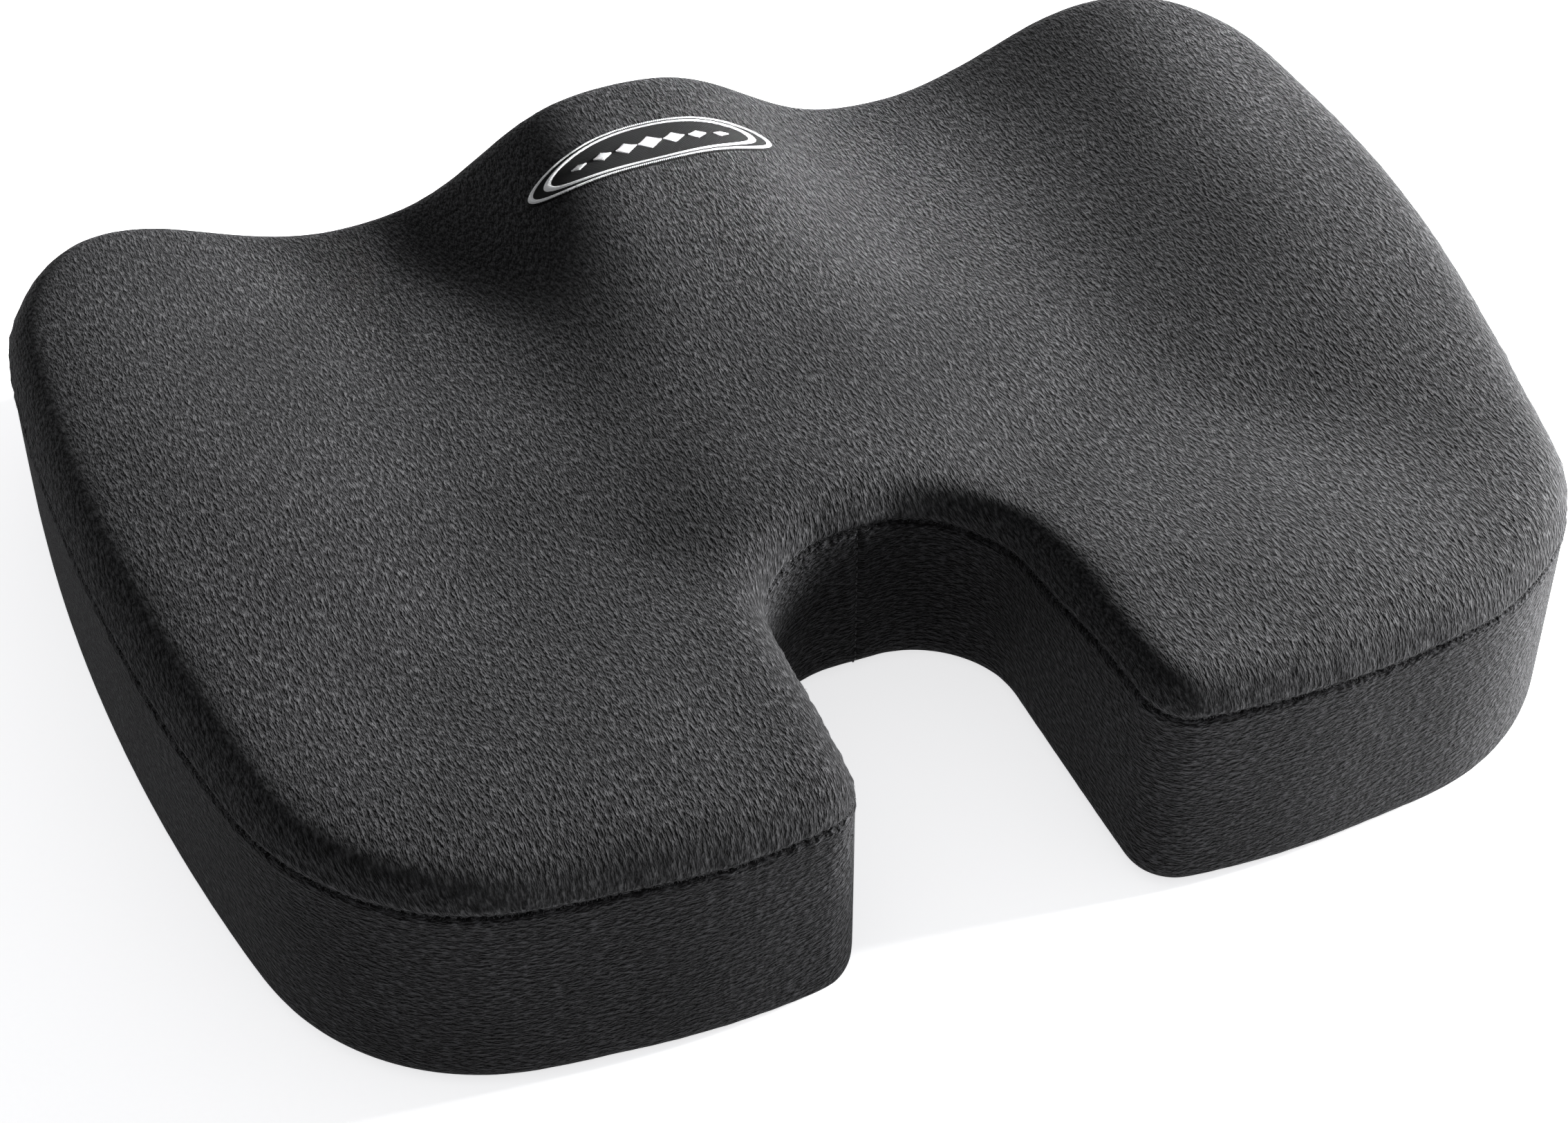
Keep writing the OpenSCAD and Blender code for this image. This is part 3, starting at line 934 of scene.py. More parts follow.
        # The right side band runs through the place where the wall starts
        wrap = self.stations + self.columns + self.stations // 2
        base_at = top_at + len(top_in)
        faces, panels, uv = [], [], []
        for r in range(len(rings) - 1):
            for k in range(n):
                k2 = (k + 1) % n
                faces.append([(r + 1) * n + k, (r + 1) * n + k2, r * n + k2, r * n + k])
                panels.append(self.panel(r, k).value)
                if r < self.seam_ring:
                    seam_edge = self.wall - self.inward * self.contour.roll_r * (math.pi / 2 - 1)
                    low = seam_edge if r + 1 == self.seam_ring else cloth[r + 1]
                    uv += [low[k], low[k2], cloth[r][k2], cloth[r][k]]
                else:
                    back = self.along[-1] if k >= wrap else 0.0
                    u, u2 = self.along[k] - back, self.along[k + 1] - back
                    uv += [(u, cloth[r + 1][k]), (u2, cloth[r + 1][k2]), (u2, cloth[r][k2]), (u, cloth[r][k])]
        for i in range(self.stations):
            for j in range(self.columns):
                steps = ((i, j), (i, j + 1), (i + 1, j + 1), (i + 1, j))
                for panel, ring_at, inside_at, order in (
                    (Panel.TOP, 0, top_at, steps),
                    (Panel.BASE, base_ring, base_at, steps[::-1]),
                ):
                    face = [self.cell(a, b, ring_at, inside_at) for a, b in order]
                    faces.append(face)
                    panels.append(panel.value)
                    uv += [points[p, :2] for p in face]
        form = new_mesh("form", points, faces, np.array([tuple(pair) for pair in uv]) * MM)
        for panel in Panel:
            form.data.materials.append(bpy.data.materials.new(panel.name))
        form.data.polygons.foreach_set("material_index", panels)
        gap = self.seam_ring + 1 + self.rows_to_zip
        bay = [k for k in range(self.stations) if self.wall[k, 1] > self.contour.front_y - 0.5]
        sewn = [self.seam_ring * n + k for k in range(n)]
        sewn += [r * n + k for r in (gap, gap + 1) for k in bay]
        sewn += list(range(base_ring, base_ring + n)) + list(range(base_at, len(points)))
        return form, sewn


@dataclass(frozen=True)
class Puff:
    """Cloth simulation that swells the cover between its seams."""

    pressure: float = 3.0
    frames: int = 16
    most: float = 2.2
    evening: int = 24

    def run(self, form: Piece, sewn: list[int]) -> None:
        """Swells a form in place.

        Args:
            form: The closed surface.
            sewn: The points that stay where they are.
        """
        start = read_points(form.data)
        group = form.vertex_groups.new(name="sewn")
        group.add(sewn, 1.0, "REPLACE")
        cloth = form.modifiers.new("puff", "CLOTH")
        cloth.settings.vertex_group_mass = group.name
        cloth.settings.quality = 5
        cloth.settings.tension_stiffness = 20
        cloth.settings.compression_stiffness = 20
        cloth.settings.bending_stiffness = 2
        cloth.settings.use_pressure = True
        cloth.settings.uniform_pressure_force = self.pressure
        cloth.settings.effector_weights.gravity = 0
        cloth.point_cache.frame_start = 1
        cloth.point_cache.frame_end = self.frames
        scene = bpy.context.scene
        for frame_number in range(1, self.frames + 1):
            scene.frame_set(frame_number)
        shown = form.evaluated_get(bpy.context.evaluated_depsgraph_get())
        moved = read_points(shown.data) - start
        form.modifiers.clear()
        moved = self.evened(form.data, moved, sewn)
        scene.frame_set(1)
        travel = np.linalg.norm(moved, axis=1, keepdims=True)
        LOG.info("cloth moved up to %.1f mm, kept to %.1f mm", travel.max(), self.most)
        held = self.most * np.tanh(travel / self.most)
        end = start + moved * held / np.maximum(travel, 1e-9)
        form.data.vertices.foreach_set("co", (end * MM).ravel())
        form.data.update()

    def evened(self, mesh: bpy.types.Mesh, moved: np.ndarray, sewn: list[int]) -> np.ndarray:
        """Evens out the folds of the slack cloth, which firm foam wouldn't let it keep.

        Args:
            mesh: The form's mesh.
            moved: How far the simulation moved each point.
            sewn: The points that stay where they are.

        Returns:
            The movement with its short waves taken out.
        """
        edges = np.empty(len(mesh.edges) * 2, dtype=np.int32)
        mesh.edges.foreach_get("vertices", edges)
        a, b = edges.reshape(-1, 2).T
        valence = np.bincount(edges, minlength=len(moved))[:, None]
        for _ in range(self.evening):
            total = np.zeros_like(moved)
            np.add.at(total, a, moved[b])
            np.add.at(total, b, moved[a])
            moved = (moved + total / valence) / 2
            moved[sewn] = 0
        return moved


def read_points(mesh: bpy.types.Mesh) -> np.ndarray:
    """Reads a mesh's vertices.

    Args:
        mesh: The mesh.

    Returns:
        Their places in millimetres.
    """
    flat = np.empty(len(mesh.vertices) * 3)
    mesh.vertices.foreach_get("co", flat)
    return flat.reshape(-1, 3) / MM


@dataclass
class Cloth:
    """The fine surface of the cover, as arrays that seams are sewn into."""

    points: np.ndarray
    normals: np.ndarray
    faces: np.ndarray
    panels: np.ndarray
    uv: np.ndarray

    @classmethod
    def from_form(cls, form: Piece, levels: int) -> "Cloth":
        """Subdivides a form and reads it.

        Args:
            form: The coarse surface.
            levels: How many times each quad is split.

        Returns:
            The fine surface.
        """
        smoothing = form.modifiers.new("smooth", "SUBSURF")
        smoothing.levels = smoothing.render_levels = levels
        mesh = shown_mesh(form)
        form.modifiers.clear()
        count = len(mesh.polygons)
        faces = np.empty(count * 4, dtype=np.int32)
        mesh.loops.foreach_get("vertex_index", faces)
        panels = np.empty(count, dtype=np.int32)
        mesh.polygons.foreach_get("material_index", panels)
        uv = np.empty(count * 8)
        mesh.uv_layers["cloth"].data.foreach_get("uv", uv)
        normals = np.empty(len(mesh.vertices) * 3)
        mesh.vertices.foreach_get("normal", normals)
        uv, normals = uv.reshape(-1, 4, 2), normals.reshape(-1, 3)
        cloth = cls(read_points(mesh), normals, faces.reshape(-1, 4), panels, uv)
        bpy.data.meshes.remove(mesh)
        return cloth

    def on(self, panels: tuple[Panel, ...]) -> np.ndarray:
        """Finds the points of some panels.

        Args:
            panels: The panels.

        Returns:
            One flag for each point.
        """
        flags = np.zeros(len(self.points), dtype=bool)
        flags[self.faces[np.isin(self.panels, [p.value for p in panels])].ravel()] = True
        return flags

    def seam(self, one: tuple[Panel, ...], other: tuple[Panel, ...]) -> np.ndarray:
        """Finds the points where panels meet.

        Args:
            one: The panels on one side.
            other: The panels on the other side.

        Returns:
            The numbers of the points they share.
        """
        return np.where(self.on(one) & self.on(other))[0]

    def nearest(self, seam: np.ndarray, reach: float) -> tuple[np.ndarray, np.ndarray, np.ndarray]:
        """Finds which points lie near a seam.

        Args:
            seam: The seam's points.
            reach: How far from the seam to look, in millimetres.

        Returns:
            The near points' numbers, their distances, and the seam point nearest to each.
        """
        tree = KDTree(len(seam))
        for number in seam:
            tree.insert(self.points[number], int(number))
        tree.balance()
        low, high = self.points[seam].min(axis=0) - reach, self.points[seam].max(axis=0) + reach
        close = np.where(((self.points > low) & (self.points < high)).all(axis=1))[0]
        found = [tree.find(self.points[number]) for number in close]
        distance = np.array([hit[2] for hit in found])
        keep = distance < reach
        return close[keep], distance[keep], np.array([hit[1] for hit in found])[keep]

    def sew(self, seam: np.ndarray, depth: float, width: float, lip: float, pucker: float) -> None:
        """Pulls a seam in, with the cloth swelling and puckering beside it.

        Args:
            seam: The seam's points.
            depth: How deep it is pulled, in millimetres.
            width: How wide the crease is.
            lip: How far the cloth stands up beside it.
            pucker: How uneven the cloth is beside it.
        """
        reach = 12.0
        near, distance, base = self.nearest(seam, reach)
        along = (self.points[base] * np.array([1.0, 1.31, 0.6])).sum(axis=1)
        pull = -self.normals[base] * (depth * np.exp(-distance / width))[:, None]
        pull *= (1 + 0.25 * ripple(along, (9, 14, 23)))[:, None]
        swell = lip * np.exp(-(((distance - 3 * width) / (1.6 * width)) ** 2))
        uneven = pucker * ripple(along, (7, 12.5, 19), 2.0) * distance * np.exp(-distance / 2.5)
        self.points[near] += pull + self.normals[near] * (swell + uneven)[:, None]

    def wander(self, seam: np.ndarray, amount: float) -> None:
        """Lets a seam run a little uneven, as hand-guided sewing does.

        Args:
            seam: The seam's points.
            amount: The height of the waves, in millimetres.
        """
        near, distance, base = self.nearest(seam, 14.0)
        along = self.points[base, 0] + 1.23 * self.points[base, 1]
        self.points[near, 2] += amount * ripple(along, (41, 67, 108)) * np.exp(-((distance / 7) ** 2))

    def cut(self, name: str, panel: Panel, thickness: float) -> Piece:
        """Cuts one panel out and gives it its thickness.

        Args:
            name: The piece's name.
            panel: The panel.
            thickness: The cloth's thickness, in millimetres.

        Returns:
            The closed piece.
        """
        chosen = self.panels == panel.value
        used, faces = np.unique(self.faces[chosen], return_inverse=True)
        piece = new_mesh(name, self.points[used], faces.reshape(-1, 4), self.uv[chosen].reshape(-1, 2))
        return thickened(piece, thickness)


# ------------------------------------------------------------------ shapes made of strands


def strand(path: np.ndarray, radii: np.ndarray, sides: int, side_hint: np.ndarray) -> tuple:
    """Sweeps a round section along a path.

    Args:
        path: The path's points.
        radii: The radius at each point.
        sides: How many sides the section has.
        side_hint: A direction that the path doesn't run along.

    Returns:
        The points, and the faces as quads; the ends are closed by their small radius.
    """
    tangent = unit(np.gradient(path, axis=0))
    across = unit(np.cross(tangent, side_hint))
    up = np.cross(across, tangent)
    turn = 2 * math.pi * np.arange(sides) / sides
    ring = np.cos(turn)[None, :, None] * across[:, None] + np.sin(turn)[None, :, None] * up[:, None]
    points = (path[:, None] + ring * radii[:, None, None]).reshape(-1, 3)
    i, k = np.meshgrid(np.arange(len(path) - 1), np.arange(sides), indexing="ij")
    a, b = i * sides + k, i * sides + (k + 1) % sides
    faces = np.stack([a, b, b + sides, a + sides], axis=-1).reshape(-1, 4)
    return points, faces


def joined(name: str, shapes: list[tuple[np.ndarray, np.ndarray]]) -> Piece:
    """Makes one piece of many separate shapes.

    Args:
        name: The piece's name.
        shapes: Points and faces of each shape.

    Returns:
        The piece.
    """
    points, faces, count = [], [], 0
    for some_points, some_faces in shapes:
        points.append(some_points)
        faces += (np.asarray(some_faces) + count).tolist()
        count += len(some_points)
    return new_mesh(name, np.concatenate(points), faces)


def stitch(start: np.ndarray, end: np.ndarray, out: np.ndarray, radius: float, arch: float) -> tuple:
    """Makes one stitch: a short thread that dips into the cloth at both ends.

    Args:
        start: Where it comes up.
        end: Where it goes down.
        out: The way out of the cloth.
        radius: The thread's radius in millimetres.
        arch: How far it stands over the cloth.

    Returns:
        Its points and faces.
    """
    t = np.linspace(0, 1, 6)[:, None]
    rise = arch * np.sin(math.pi * t) - 0.6 * radius
    path = start + (end - start) * t + out * rise
    radii = radius * np.array([0.15, 0.85, 1, 1, 0.85, 0.15])
    return strand(path, radii, 6, out)


def stitch_row(
    line: np.ndarray, out: np.ndarray, pitch: float, gap: float, radius: float, arch: float
) -> list[tuple]:
    """Sews along a line.

    Args:
        line: The line's points, in order.
        out: The way out of the cloth at each.
        pitch: From one stitch to the next, in millimetres.
        gap: Cloth that shows between two stitches.
        radius: The thread's radius.
        arch: How far a stitch stands over the cloth.

    Returns:
        The stitches.
    """
    lengths = np.concatenate([[0], np.cumsum(np.linalg.norm(np.diff(line, axis=0), axis=1))])

    def at(s: float, values: np.ndarray) -> np.ndarray:
        """Reads values at a place along the line."""
        return np.array([np.interp(s, lengths, values[:, i]) for i in range(3)])

    starts = np.arange(0, lengths[-1] - pitch, pitch)
    return [stitch(at(s, line), at(s + pitch - gap, line), unit(at(s, out)), radius, arch) for s in starts]


# ------------------------------------------------------------------ the cover


@dataclass
class Cover:
    """The velour cover, its foam core and everything that is sewn to it."""

    contour: Contour
    velour_t: float = 1.4
    levels: int = 2
    form: Form = field(init=False)
    cloth: Cloth = field(init=False)
    top: Piece = field(init=False)
    materials: dict[str, Material] = field(default_factory=dict)

    WALLS = (Panel.LEFT, Panel.RIGHT, Panel.FRONT_UPPER, Panel.FRONT_LOWER, Panel.ZIP_GAP)
    FRONT = (Panel.FRONT_UPPER, Panel.FRONT_LOWER, Panel.ZIP_GAP)

    def material(self, finish: object) -> Material:
        """Builds a finish once.

        Args:
            finish: The finish.

        Returns:
            Its material.
        """
        if finish.name not in self.materials:
            self.materials[finish.name] = finish.build()
        return self.materials[finish.name]

    def build(self) -> None:
        """Makes the form, puffs it, sews it and cuts the panels."""
        self.form = Form(self.contour)
        body, sewn = self.form.build()
        Puff().run(body, sewn)
        self.cloth = Cloth.from_form(body, self.levels)
        foam = Cloth.from_form(body, 1)
        bpy.data.objects.remove(body)
        self.build_foam(foam)
        self.sew()
        self.build_panels()
        self.build_stitches()
        self.build_pile()

    def build_foam(self, foam: Cloth) -> None:
        """Makes the foam core inside the cover.

        Args:
            foam: The surface that the cover has, at a coarser grid.
        """
        slack, zip_room = 3.2, 5.2
        points = foam.points - foam.normals * slack
        points[:, 1] = np.minimum(points[:, 1], self.contour.front_y - zip_room)
        core = new_mesh("foam_pad", points, foam.faces)
        place(core, "cushion", self.material(FOAM), "foam", ("foam_core",))

    def sew(self) -> None:
        """Draws the seams in, lets the cloth swell beside them, and lays the base flat."""
        cloth = self.cloth
        top_seam = cloth.seam((Panel.TOP,), self.WALLS)
        cloth.wander(top_seam, 0.7)
        cloth.sew(top_seam, depth=1.3, width=0.8, lip=0.35, pucker=0.3)
        notch_seam = cloth.seam((Panel.LEFT,), (Panel.RIGHT,))
        upright = notch_seam[cloth.points[notch_seam, 2] > self.contour.under_r + 2]
        cloth.sew(upright, depth=1.0, width=0.9, lip=0.2, pucker=0.25)
        front_joins = cloth.seam((Panel.LEFT, Panel.RIGHT), self.FRONT)
        cloth.sew(front_joins, depth=1.2, width=1.2, lip=0.2, pucker=0.1)
        base_seam = cloth.seam((Panel.BASE,), self.WALLS)
        cloth.sew(base_seam, depth=0.7, width=1.0, lip=0.0, pucker=0.1)
        base = cloth.on((Panel.BASE,))
        cloth.points[base, 2] = self.contour.floor_z
        cloth.points[:, 2] = np.maximum(cloth.points[:, 2], self.contour.floor_z)

    def build_panels(self) -> None:
        """Cuts the panels and gives each its finish."""
        seat, wall = self.material(SEAT_VELOUR), self.material(WALL_VELOUR)
        knit = self.material(BASE_KNIT)
        plan = (
            ("cover_top", Panel.TOP, seat, "velour", "top_panel"),
            ("cover_side_left", Panel.LEFT, wall, "velour_band", "left_side_band"),
            ("cover_side_right", Panel.RIGHT, wall, "velour_band", "right_side_band"),
            ("cover_front_upper", Panel.FRONT_UPPER, wall, "velour_band", "front_band_upper"),
            ("cover_front_lower", Panel.FRONT_LOWER, wall, "velour_band", "front_band_lower"),
            ("cover_base", Panel.BASE, knit, "base_fabric", "base_panel"),
        )
        for name, panel, material, slot, node in plan:
            piece = self.cloth.cut(name, panel, self.velour_t)
            place(piece, "cushion", material, slot, (node,))
            if panel is Panel.TOP:
                self.top = piece

    def ordered(self, seam: np.ndarray) -> np.ndarray:
        """Puts a seam's points in order round the cushion, by walking from each to the next.

        Args:
            seam: The seam's points.

        Returns:
            The same points in order.
        """
        links: dict[int, list[int]] = {}
        inside = np.zeros(len(self.cloth.points), dtype=bool)
        inside[seam] = True
        for shift in range(4):
            a, b = self.cloth.faces[:, shift], self.cloth.faces[:, (shift + 1) % 4]
            both = inside[a] & inside[b]
            for one, other in zip(a[both].tolist(), b[both].tolist()):
                links.setdefault(one, []).append(other)
                links.setdefault(other, []).append(one)
        ends = [p for p, near in links.items() if len(set(near)) == 1]
        path = [ends[0] if ends else int(seam[0])]
        seen = set(path)
        while True:
            following = [p for p in links[path[-1]] if p not in seen]
            if not following:
                return np.array(path)
            path.append(following[0])
            seen.add(following[0])

    def build_stitches(self) -> None:
        """Sews the seams: a stitch every three millimetres, sunk in the crease."""
        cloth, thread = self.cloth, self.material(SEWING_THREAD)
        rows = (
            ("top_seam_stitches", "top_seam_thread", [((Panel.TOP,), self.WALLS)]),
            ("base_seam_stitches", "base_seam_thread", [((Panel.BASE,), self.WALLS)]),
            (
                "band_join_stitches",
                "band_join_thread",
                [((Panel.LEFT,), (Panel.RIGHT,)), ((Panel.LEFT,), self.FRONT), ((Panel.RIGHT,), self.FRONT)],
            ),
        )
        for name, node, seams in rows:
            shapes = []
            for one, other in seams:
                path = self.ordered(cloth.seam(one, other))
                line = cloth.points[path].copy()
                out = cloth.normals[path].copy()
                if node == "base_seam_thread":
                    line[:, 2] = self.contour.floor_z - 0.05
                    out[:] = (0, 0, -1)
                shapes += stitch_row(line + 0.25 * out, out, pitch=3.1, gap=0.7, radius=0.27, arch=0.15)
            place(joined(name, shapes), "cushion", thread, "thread", (node,))

    def build_pile(self) -> None:
        """Stands loose fibres along the top seam, where the pile of both panels meets."""
        cloth, search, out_of_reach = self.cloth, 6.5, 99.0
        rng = np.random.default_rng(7)
        seam = cloth.seam((Panel.TOP,), self.WALLS)
        near, distance, base = cloth.nearest(seam, search)
        away = np.full(len(cloth.points), out_of_reach)
        away[near] = distance
        toward = np.zeros_like(cloth.points)
        toward[near] = cloth.points[base] - cloth.points[near]
        far = away[cloth.faces].max(axis=1)
        corners = cloth.points[cloth.faces]
        crossed = np.cross(corners[:, 2] - corners[:, 0], corners[:, 3] - corners[:, 1])
        area = np.linalg.norm(crossed, axis=1) / 2
        for name, panels, reach, per_mm2, lean, size in (
            ("seat_pile", (Panel.TOP,), 2.4, 1.1, 1.0, (0.9, 1.7)),
            ("wall_pile", (Panel.LEFT, Panel.RIGHT, Panel.FRONT_UPPER), 1.9, 0.9, -0.2, (0.8, 1.3)),
        ):
            faces = np.where(np.isin(cloth.panels, [p.value for p in panels]) & (far < reach))[0]
            count = int(area[faces].sum() * per_mm2)
            chosen = rng.choice(faces, count, p=area[faces] / area[faces].sum())
            weights = rng.dirichlet((1, 1, 1, 1), count)[..., None]
            root = (cloth.points[cloth.faces[chosen]] * weights).sum(axis=1)
            normal = unit((cloth.normals[cloth.faces[chosen]] * weights).sum(axis=1))
            down = unit((toward[cloth.faces[chosen]] * weights).sum(axis=1))
            side = np.cross(normal, down)
            brushed = 0.9 * side if lean < 0 else 0.0 * side
            way = unit(0.55 * normal + lean * down + brushed + 0.35 * rng.normal(size=(count, 3)))
            long = rng.uniform(*size, count)[:, None]
            self.fibres(name, root - 0.15 * normal, normal, way, long)

    def fibres(
        self, name: str, root: np.ndarray, normal: np.ndarray, way: np.ndarray, long: np.ndarray
    ) -> None:
        """Makes a patch of pile: tapered three-sided tufts that bend as they rise.

        Args:
            name: The piece's name.
            root: Where each tuft starts.
            normal: The way out of the cloth at each.
            way: The way each tuft leans.
            long: Each tuft's length in millimetres.
        """
        thick = 0.12
        across = unit(np.cross(way, normal))
        upright = np.cross(across, way)
        middle = root + (0.6 * normal + 0.4 * way) * 0.45 * long
        tip = middle + way * 0.6 * long
        turns = [0, 2 * math.pi / 3, 4 * math.pi / 3]
        ring = [math.cos(t) * across + math.sin(t) * upright for t in turns]
        layers = [root + thick * r for r in ring] + [middle + 0.7 * thick * r for r in ring] + [tip]
        points = np.stack(layers, axis=1).reshape(-1, 3)
        base = (np.arange(len(root)) * 7)[:, None]
        quads = [[k, (k + 1) % 3, 3 + (k + 1) % 3, 3 + k] for k in range(3)]
        tips = [[3 + k, 3 + (k + 1) % 3, 6] for k in range(3)]
        faces = [(base + np.array(f)).tolist() for f in quads + tips]
        piece = new_mesh(name, points, [face for group in faces for face in group])
        place(piece, "cushion", self.material(PILE_FIBRE), "velour" if name == "seat_pile" else "velour_band")


@dataclass
class Underside:
    """What the base fabric carries: grip dots and a care label."""

    cover: Cover

    def build(self) -> None:
        """Makes the dots and the label."""
        self.build_dots()
        self.build_label()

    def build_dots(self) -> None:
        """Makes one low dome for each grip dot."""
        pitch = 10.0
        vertices = read_points(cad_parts["grip_dots"].data)
        keys = np.round(vertices[:, :2] / (pitch, pitch * math.sin(math.radians(60)) * 2)).astype(int)
        cells, member = np.unique(keys, axis=0, return_inverse=True)
        member = member.ravel()
        low, high = box_mm("grip_dots")[:, 2]
        # The dome's radius in millimetres at shares of its height, from the fabric to its crown
        profile = ((2.5, 1.0), (2.42, 0.55), (2.1, 0.2), (1.3, 0.04), (0.02, 0.0))
        sides = 16
        turn = 2 * math.pi * np.arange(sides) / sides
        circle = np.stack([np.cos(turn), np.sin(turn)], axis=1)
        shapes = []
        for cell in range(len(cells)):
            dot = vertices[member == cell]
            centre = (dot.min(axis=0) + dot.max(axis=0))[:2] / 2
            rings = [
                np.column_stack([centre + r * circle, np.full(sides, low + share * (high - low))])
                for r, share in profile
            ]
            faces = [
                [k + i, k + sides + i, k + sides + (i + 1) % sides, k + (i + 1) % sides]
                for k in range(0, sides * (len(profile) - 1), sides)
                for i in range(sides)
            ]
            shapes.append((np.concatenate(rings), faces))
        dots = joined("grip_dots_rubber", shapes)
        place(dots, "cushion", self.cover.material(GRIP_RUBBER), "grip_rubber", ("grip_dots",))

    def build_label(self) -> None:
        """Makes the blank care label, flat at its short sides."""
        (x0, y0, z0), (x1, y1, z1) = box_mm("care_label")
        rows, columns = 40, 26
        x, y = np.meshgrid(np.linspace(x0, x1, rows), np.linspace(y0, y1, columns), indexing="ij")
        share = (x - x0) / (x1 - x0)
        fold = np.exp(-((np.minimum(share, 1 - share) / 0.05) ** 2))
        z = z0 + 0.08 * (1 - fold) * (1 + np.sin(y * 0.5) * np.sin(x * 0.21))
        top = np.column_stack([x.ravel(), y.ravel(), z.ravel()])
        label = thickened(new_mesh("care_label_ribbon", top, grid_faces(rows, columns)), 0.6 * (z1 - z0))
        place(label, "cushion", self.cover.material(LABEL_SATIN), "label_satin", ("care_label",))


@dataclass
class Patch:
    """The oval patch on the pommel: a twill ground, two sewn lines and a row of lozenges."""

    cover: Cover
    ground_t: float = 1.0
    lozenge_pitch: float = 8.4
    centre: np.ndarray = field(init=False)
    half: np.ndarray = field(init=False)
    tree: BVHTree = field(init=False)

    def build(self) -> None:
        """Makes the ground, the lines and the lozenges."""
        low, high = box_mm("patch_base")
        self.centre = (low[:2] + high[:2]) / 2
        self.half = (high[:2] - low[:2]) / 2
        bpy.context.view_layer.update()
        mesh = self.cover.top.data
        faces = [tuple(p.vertices) for p in mesh.polygons]
        self.tree = BVHTree.FromPolygons(read_points(mesh).tolist(), faces)
        self.build_ground()
        self.build_lines()
        self.build_lozenges()

    def on_seat(self, plan: np.ndarray, lift: float) -> np.ndarray:
        """Lays points on the velour.

        Args:
            plan: Points in plan.
            lift: How far they stand over it.

        Returns:
            The points in space.
        """
        above = 200.0
        heights = [self.tree.ray_cast(Vector((x, y, above)), Vector((0, 0, -1)))[0].z for x, y in plan]
        return np.column_stack([plan, np.array(heights) + lift])

    def oval(self, share: float, steps: int) -> np.ndarray:
        """Gives an oval round the patch.

        Args:
            share: Its size as a share of the patch's.
            steps: How many points it has.

        Returns:
            Its points in plan.
        """
        turn = 2 * math.pi * np.arange(steps) / steps
        return self.centre + share * self.half * np.stack([np.cos(turn), np.sin(turn)], axis=1)

    def build_ground(self) -> None:
        """Makes the twill oval, rounded at its turned edge."""
        steps = 120
        shares = (0.004, 0.2, 0.4, 0.6, 0.75, 0.86, 0.93, 0.97, 0.99, 1.0)
        drop = (0, 0, 0, 0, 0, 0, 0, 0.12, 0.35, 0.75)
        layers = [self.on_seat(self.oval(s, steps), self.ground_t - d) for s, d in zip(shares, drop)]
        layers += [self.on_seat(self.oval(s, steps), -0.3) for s in shares[::-1]]
        points = np.concatenate(layers)
        k, i = np.meshgrid(np.arange(len(layers) - 1), np.arange(steps), indexing="ij")
        a, b = k * steps + i, k * steps + (i + 1) % steps
        faces = np.stack([a, a + steps, b + steps, b], axis=-1).reshape(-1, 4)
        ends = [list(range(steps)), list(range(len(points) - 1, len(points) - steps - 1, -1))]
        faces = faces.tolist() + ends
        ground = new_mesh("patch_ground", points, faces)
        place(ground, "cushion", self.cover.material(PATCH_TWILL), "patch_twill", ("patch_base",))

    def build_lines(self) -> None:
        """Lays satin stitches side by side along both ovals."""
        shapes, steps = [], 380
        for outer, inner in ((0.985, 0.94), (0.86, 0.79)):
            starts = self.on_seat(self.oval(outer, steps), self.ground_t)
            ends = self.on_seat(self.oval(inner, steps), self.ground_t)
            shapes += [stitch(a, b, UP, radius=0.27, arch=0.3) for a, b in zip(starts, ends)]
        lines = joined("patch_lines", shapes)
        place(lines, "cushion", self.cover.material(PATCH_SILVER), "patch_silver", ("patch_border",))

    def build_lozenges(self) -> None:
        """Fills each lozenge with upright satin stitches."""
        shapes = []
        thread = 0.26
        for i in range(-3, 4):
            long, tall = 4.2 - 0.5 * abs(i), 3.9 - 0.8 * abs(i)
            for x in np.arange(-long + thread, long, 1.6 * thread):
                reach = tall * (1 - abs(x) / long)
                along = self.lozenge_pitch * i + x
                ends = self.centre + np.array([[along, reach], [along, -reach]])
                a, b = self.on_seat(ends, self.ground_t)
                shapes.append(stitch(a, b, UP, radius=thread, arch=0.35))
        lozenges = joined("patch_lozenges", shapes)
        place(lozenges, "cushion", self.cover.material(PATCH_SILVER), "patch_silver", ("patch_motif",))


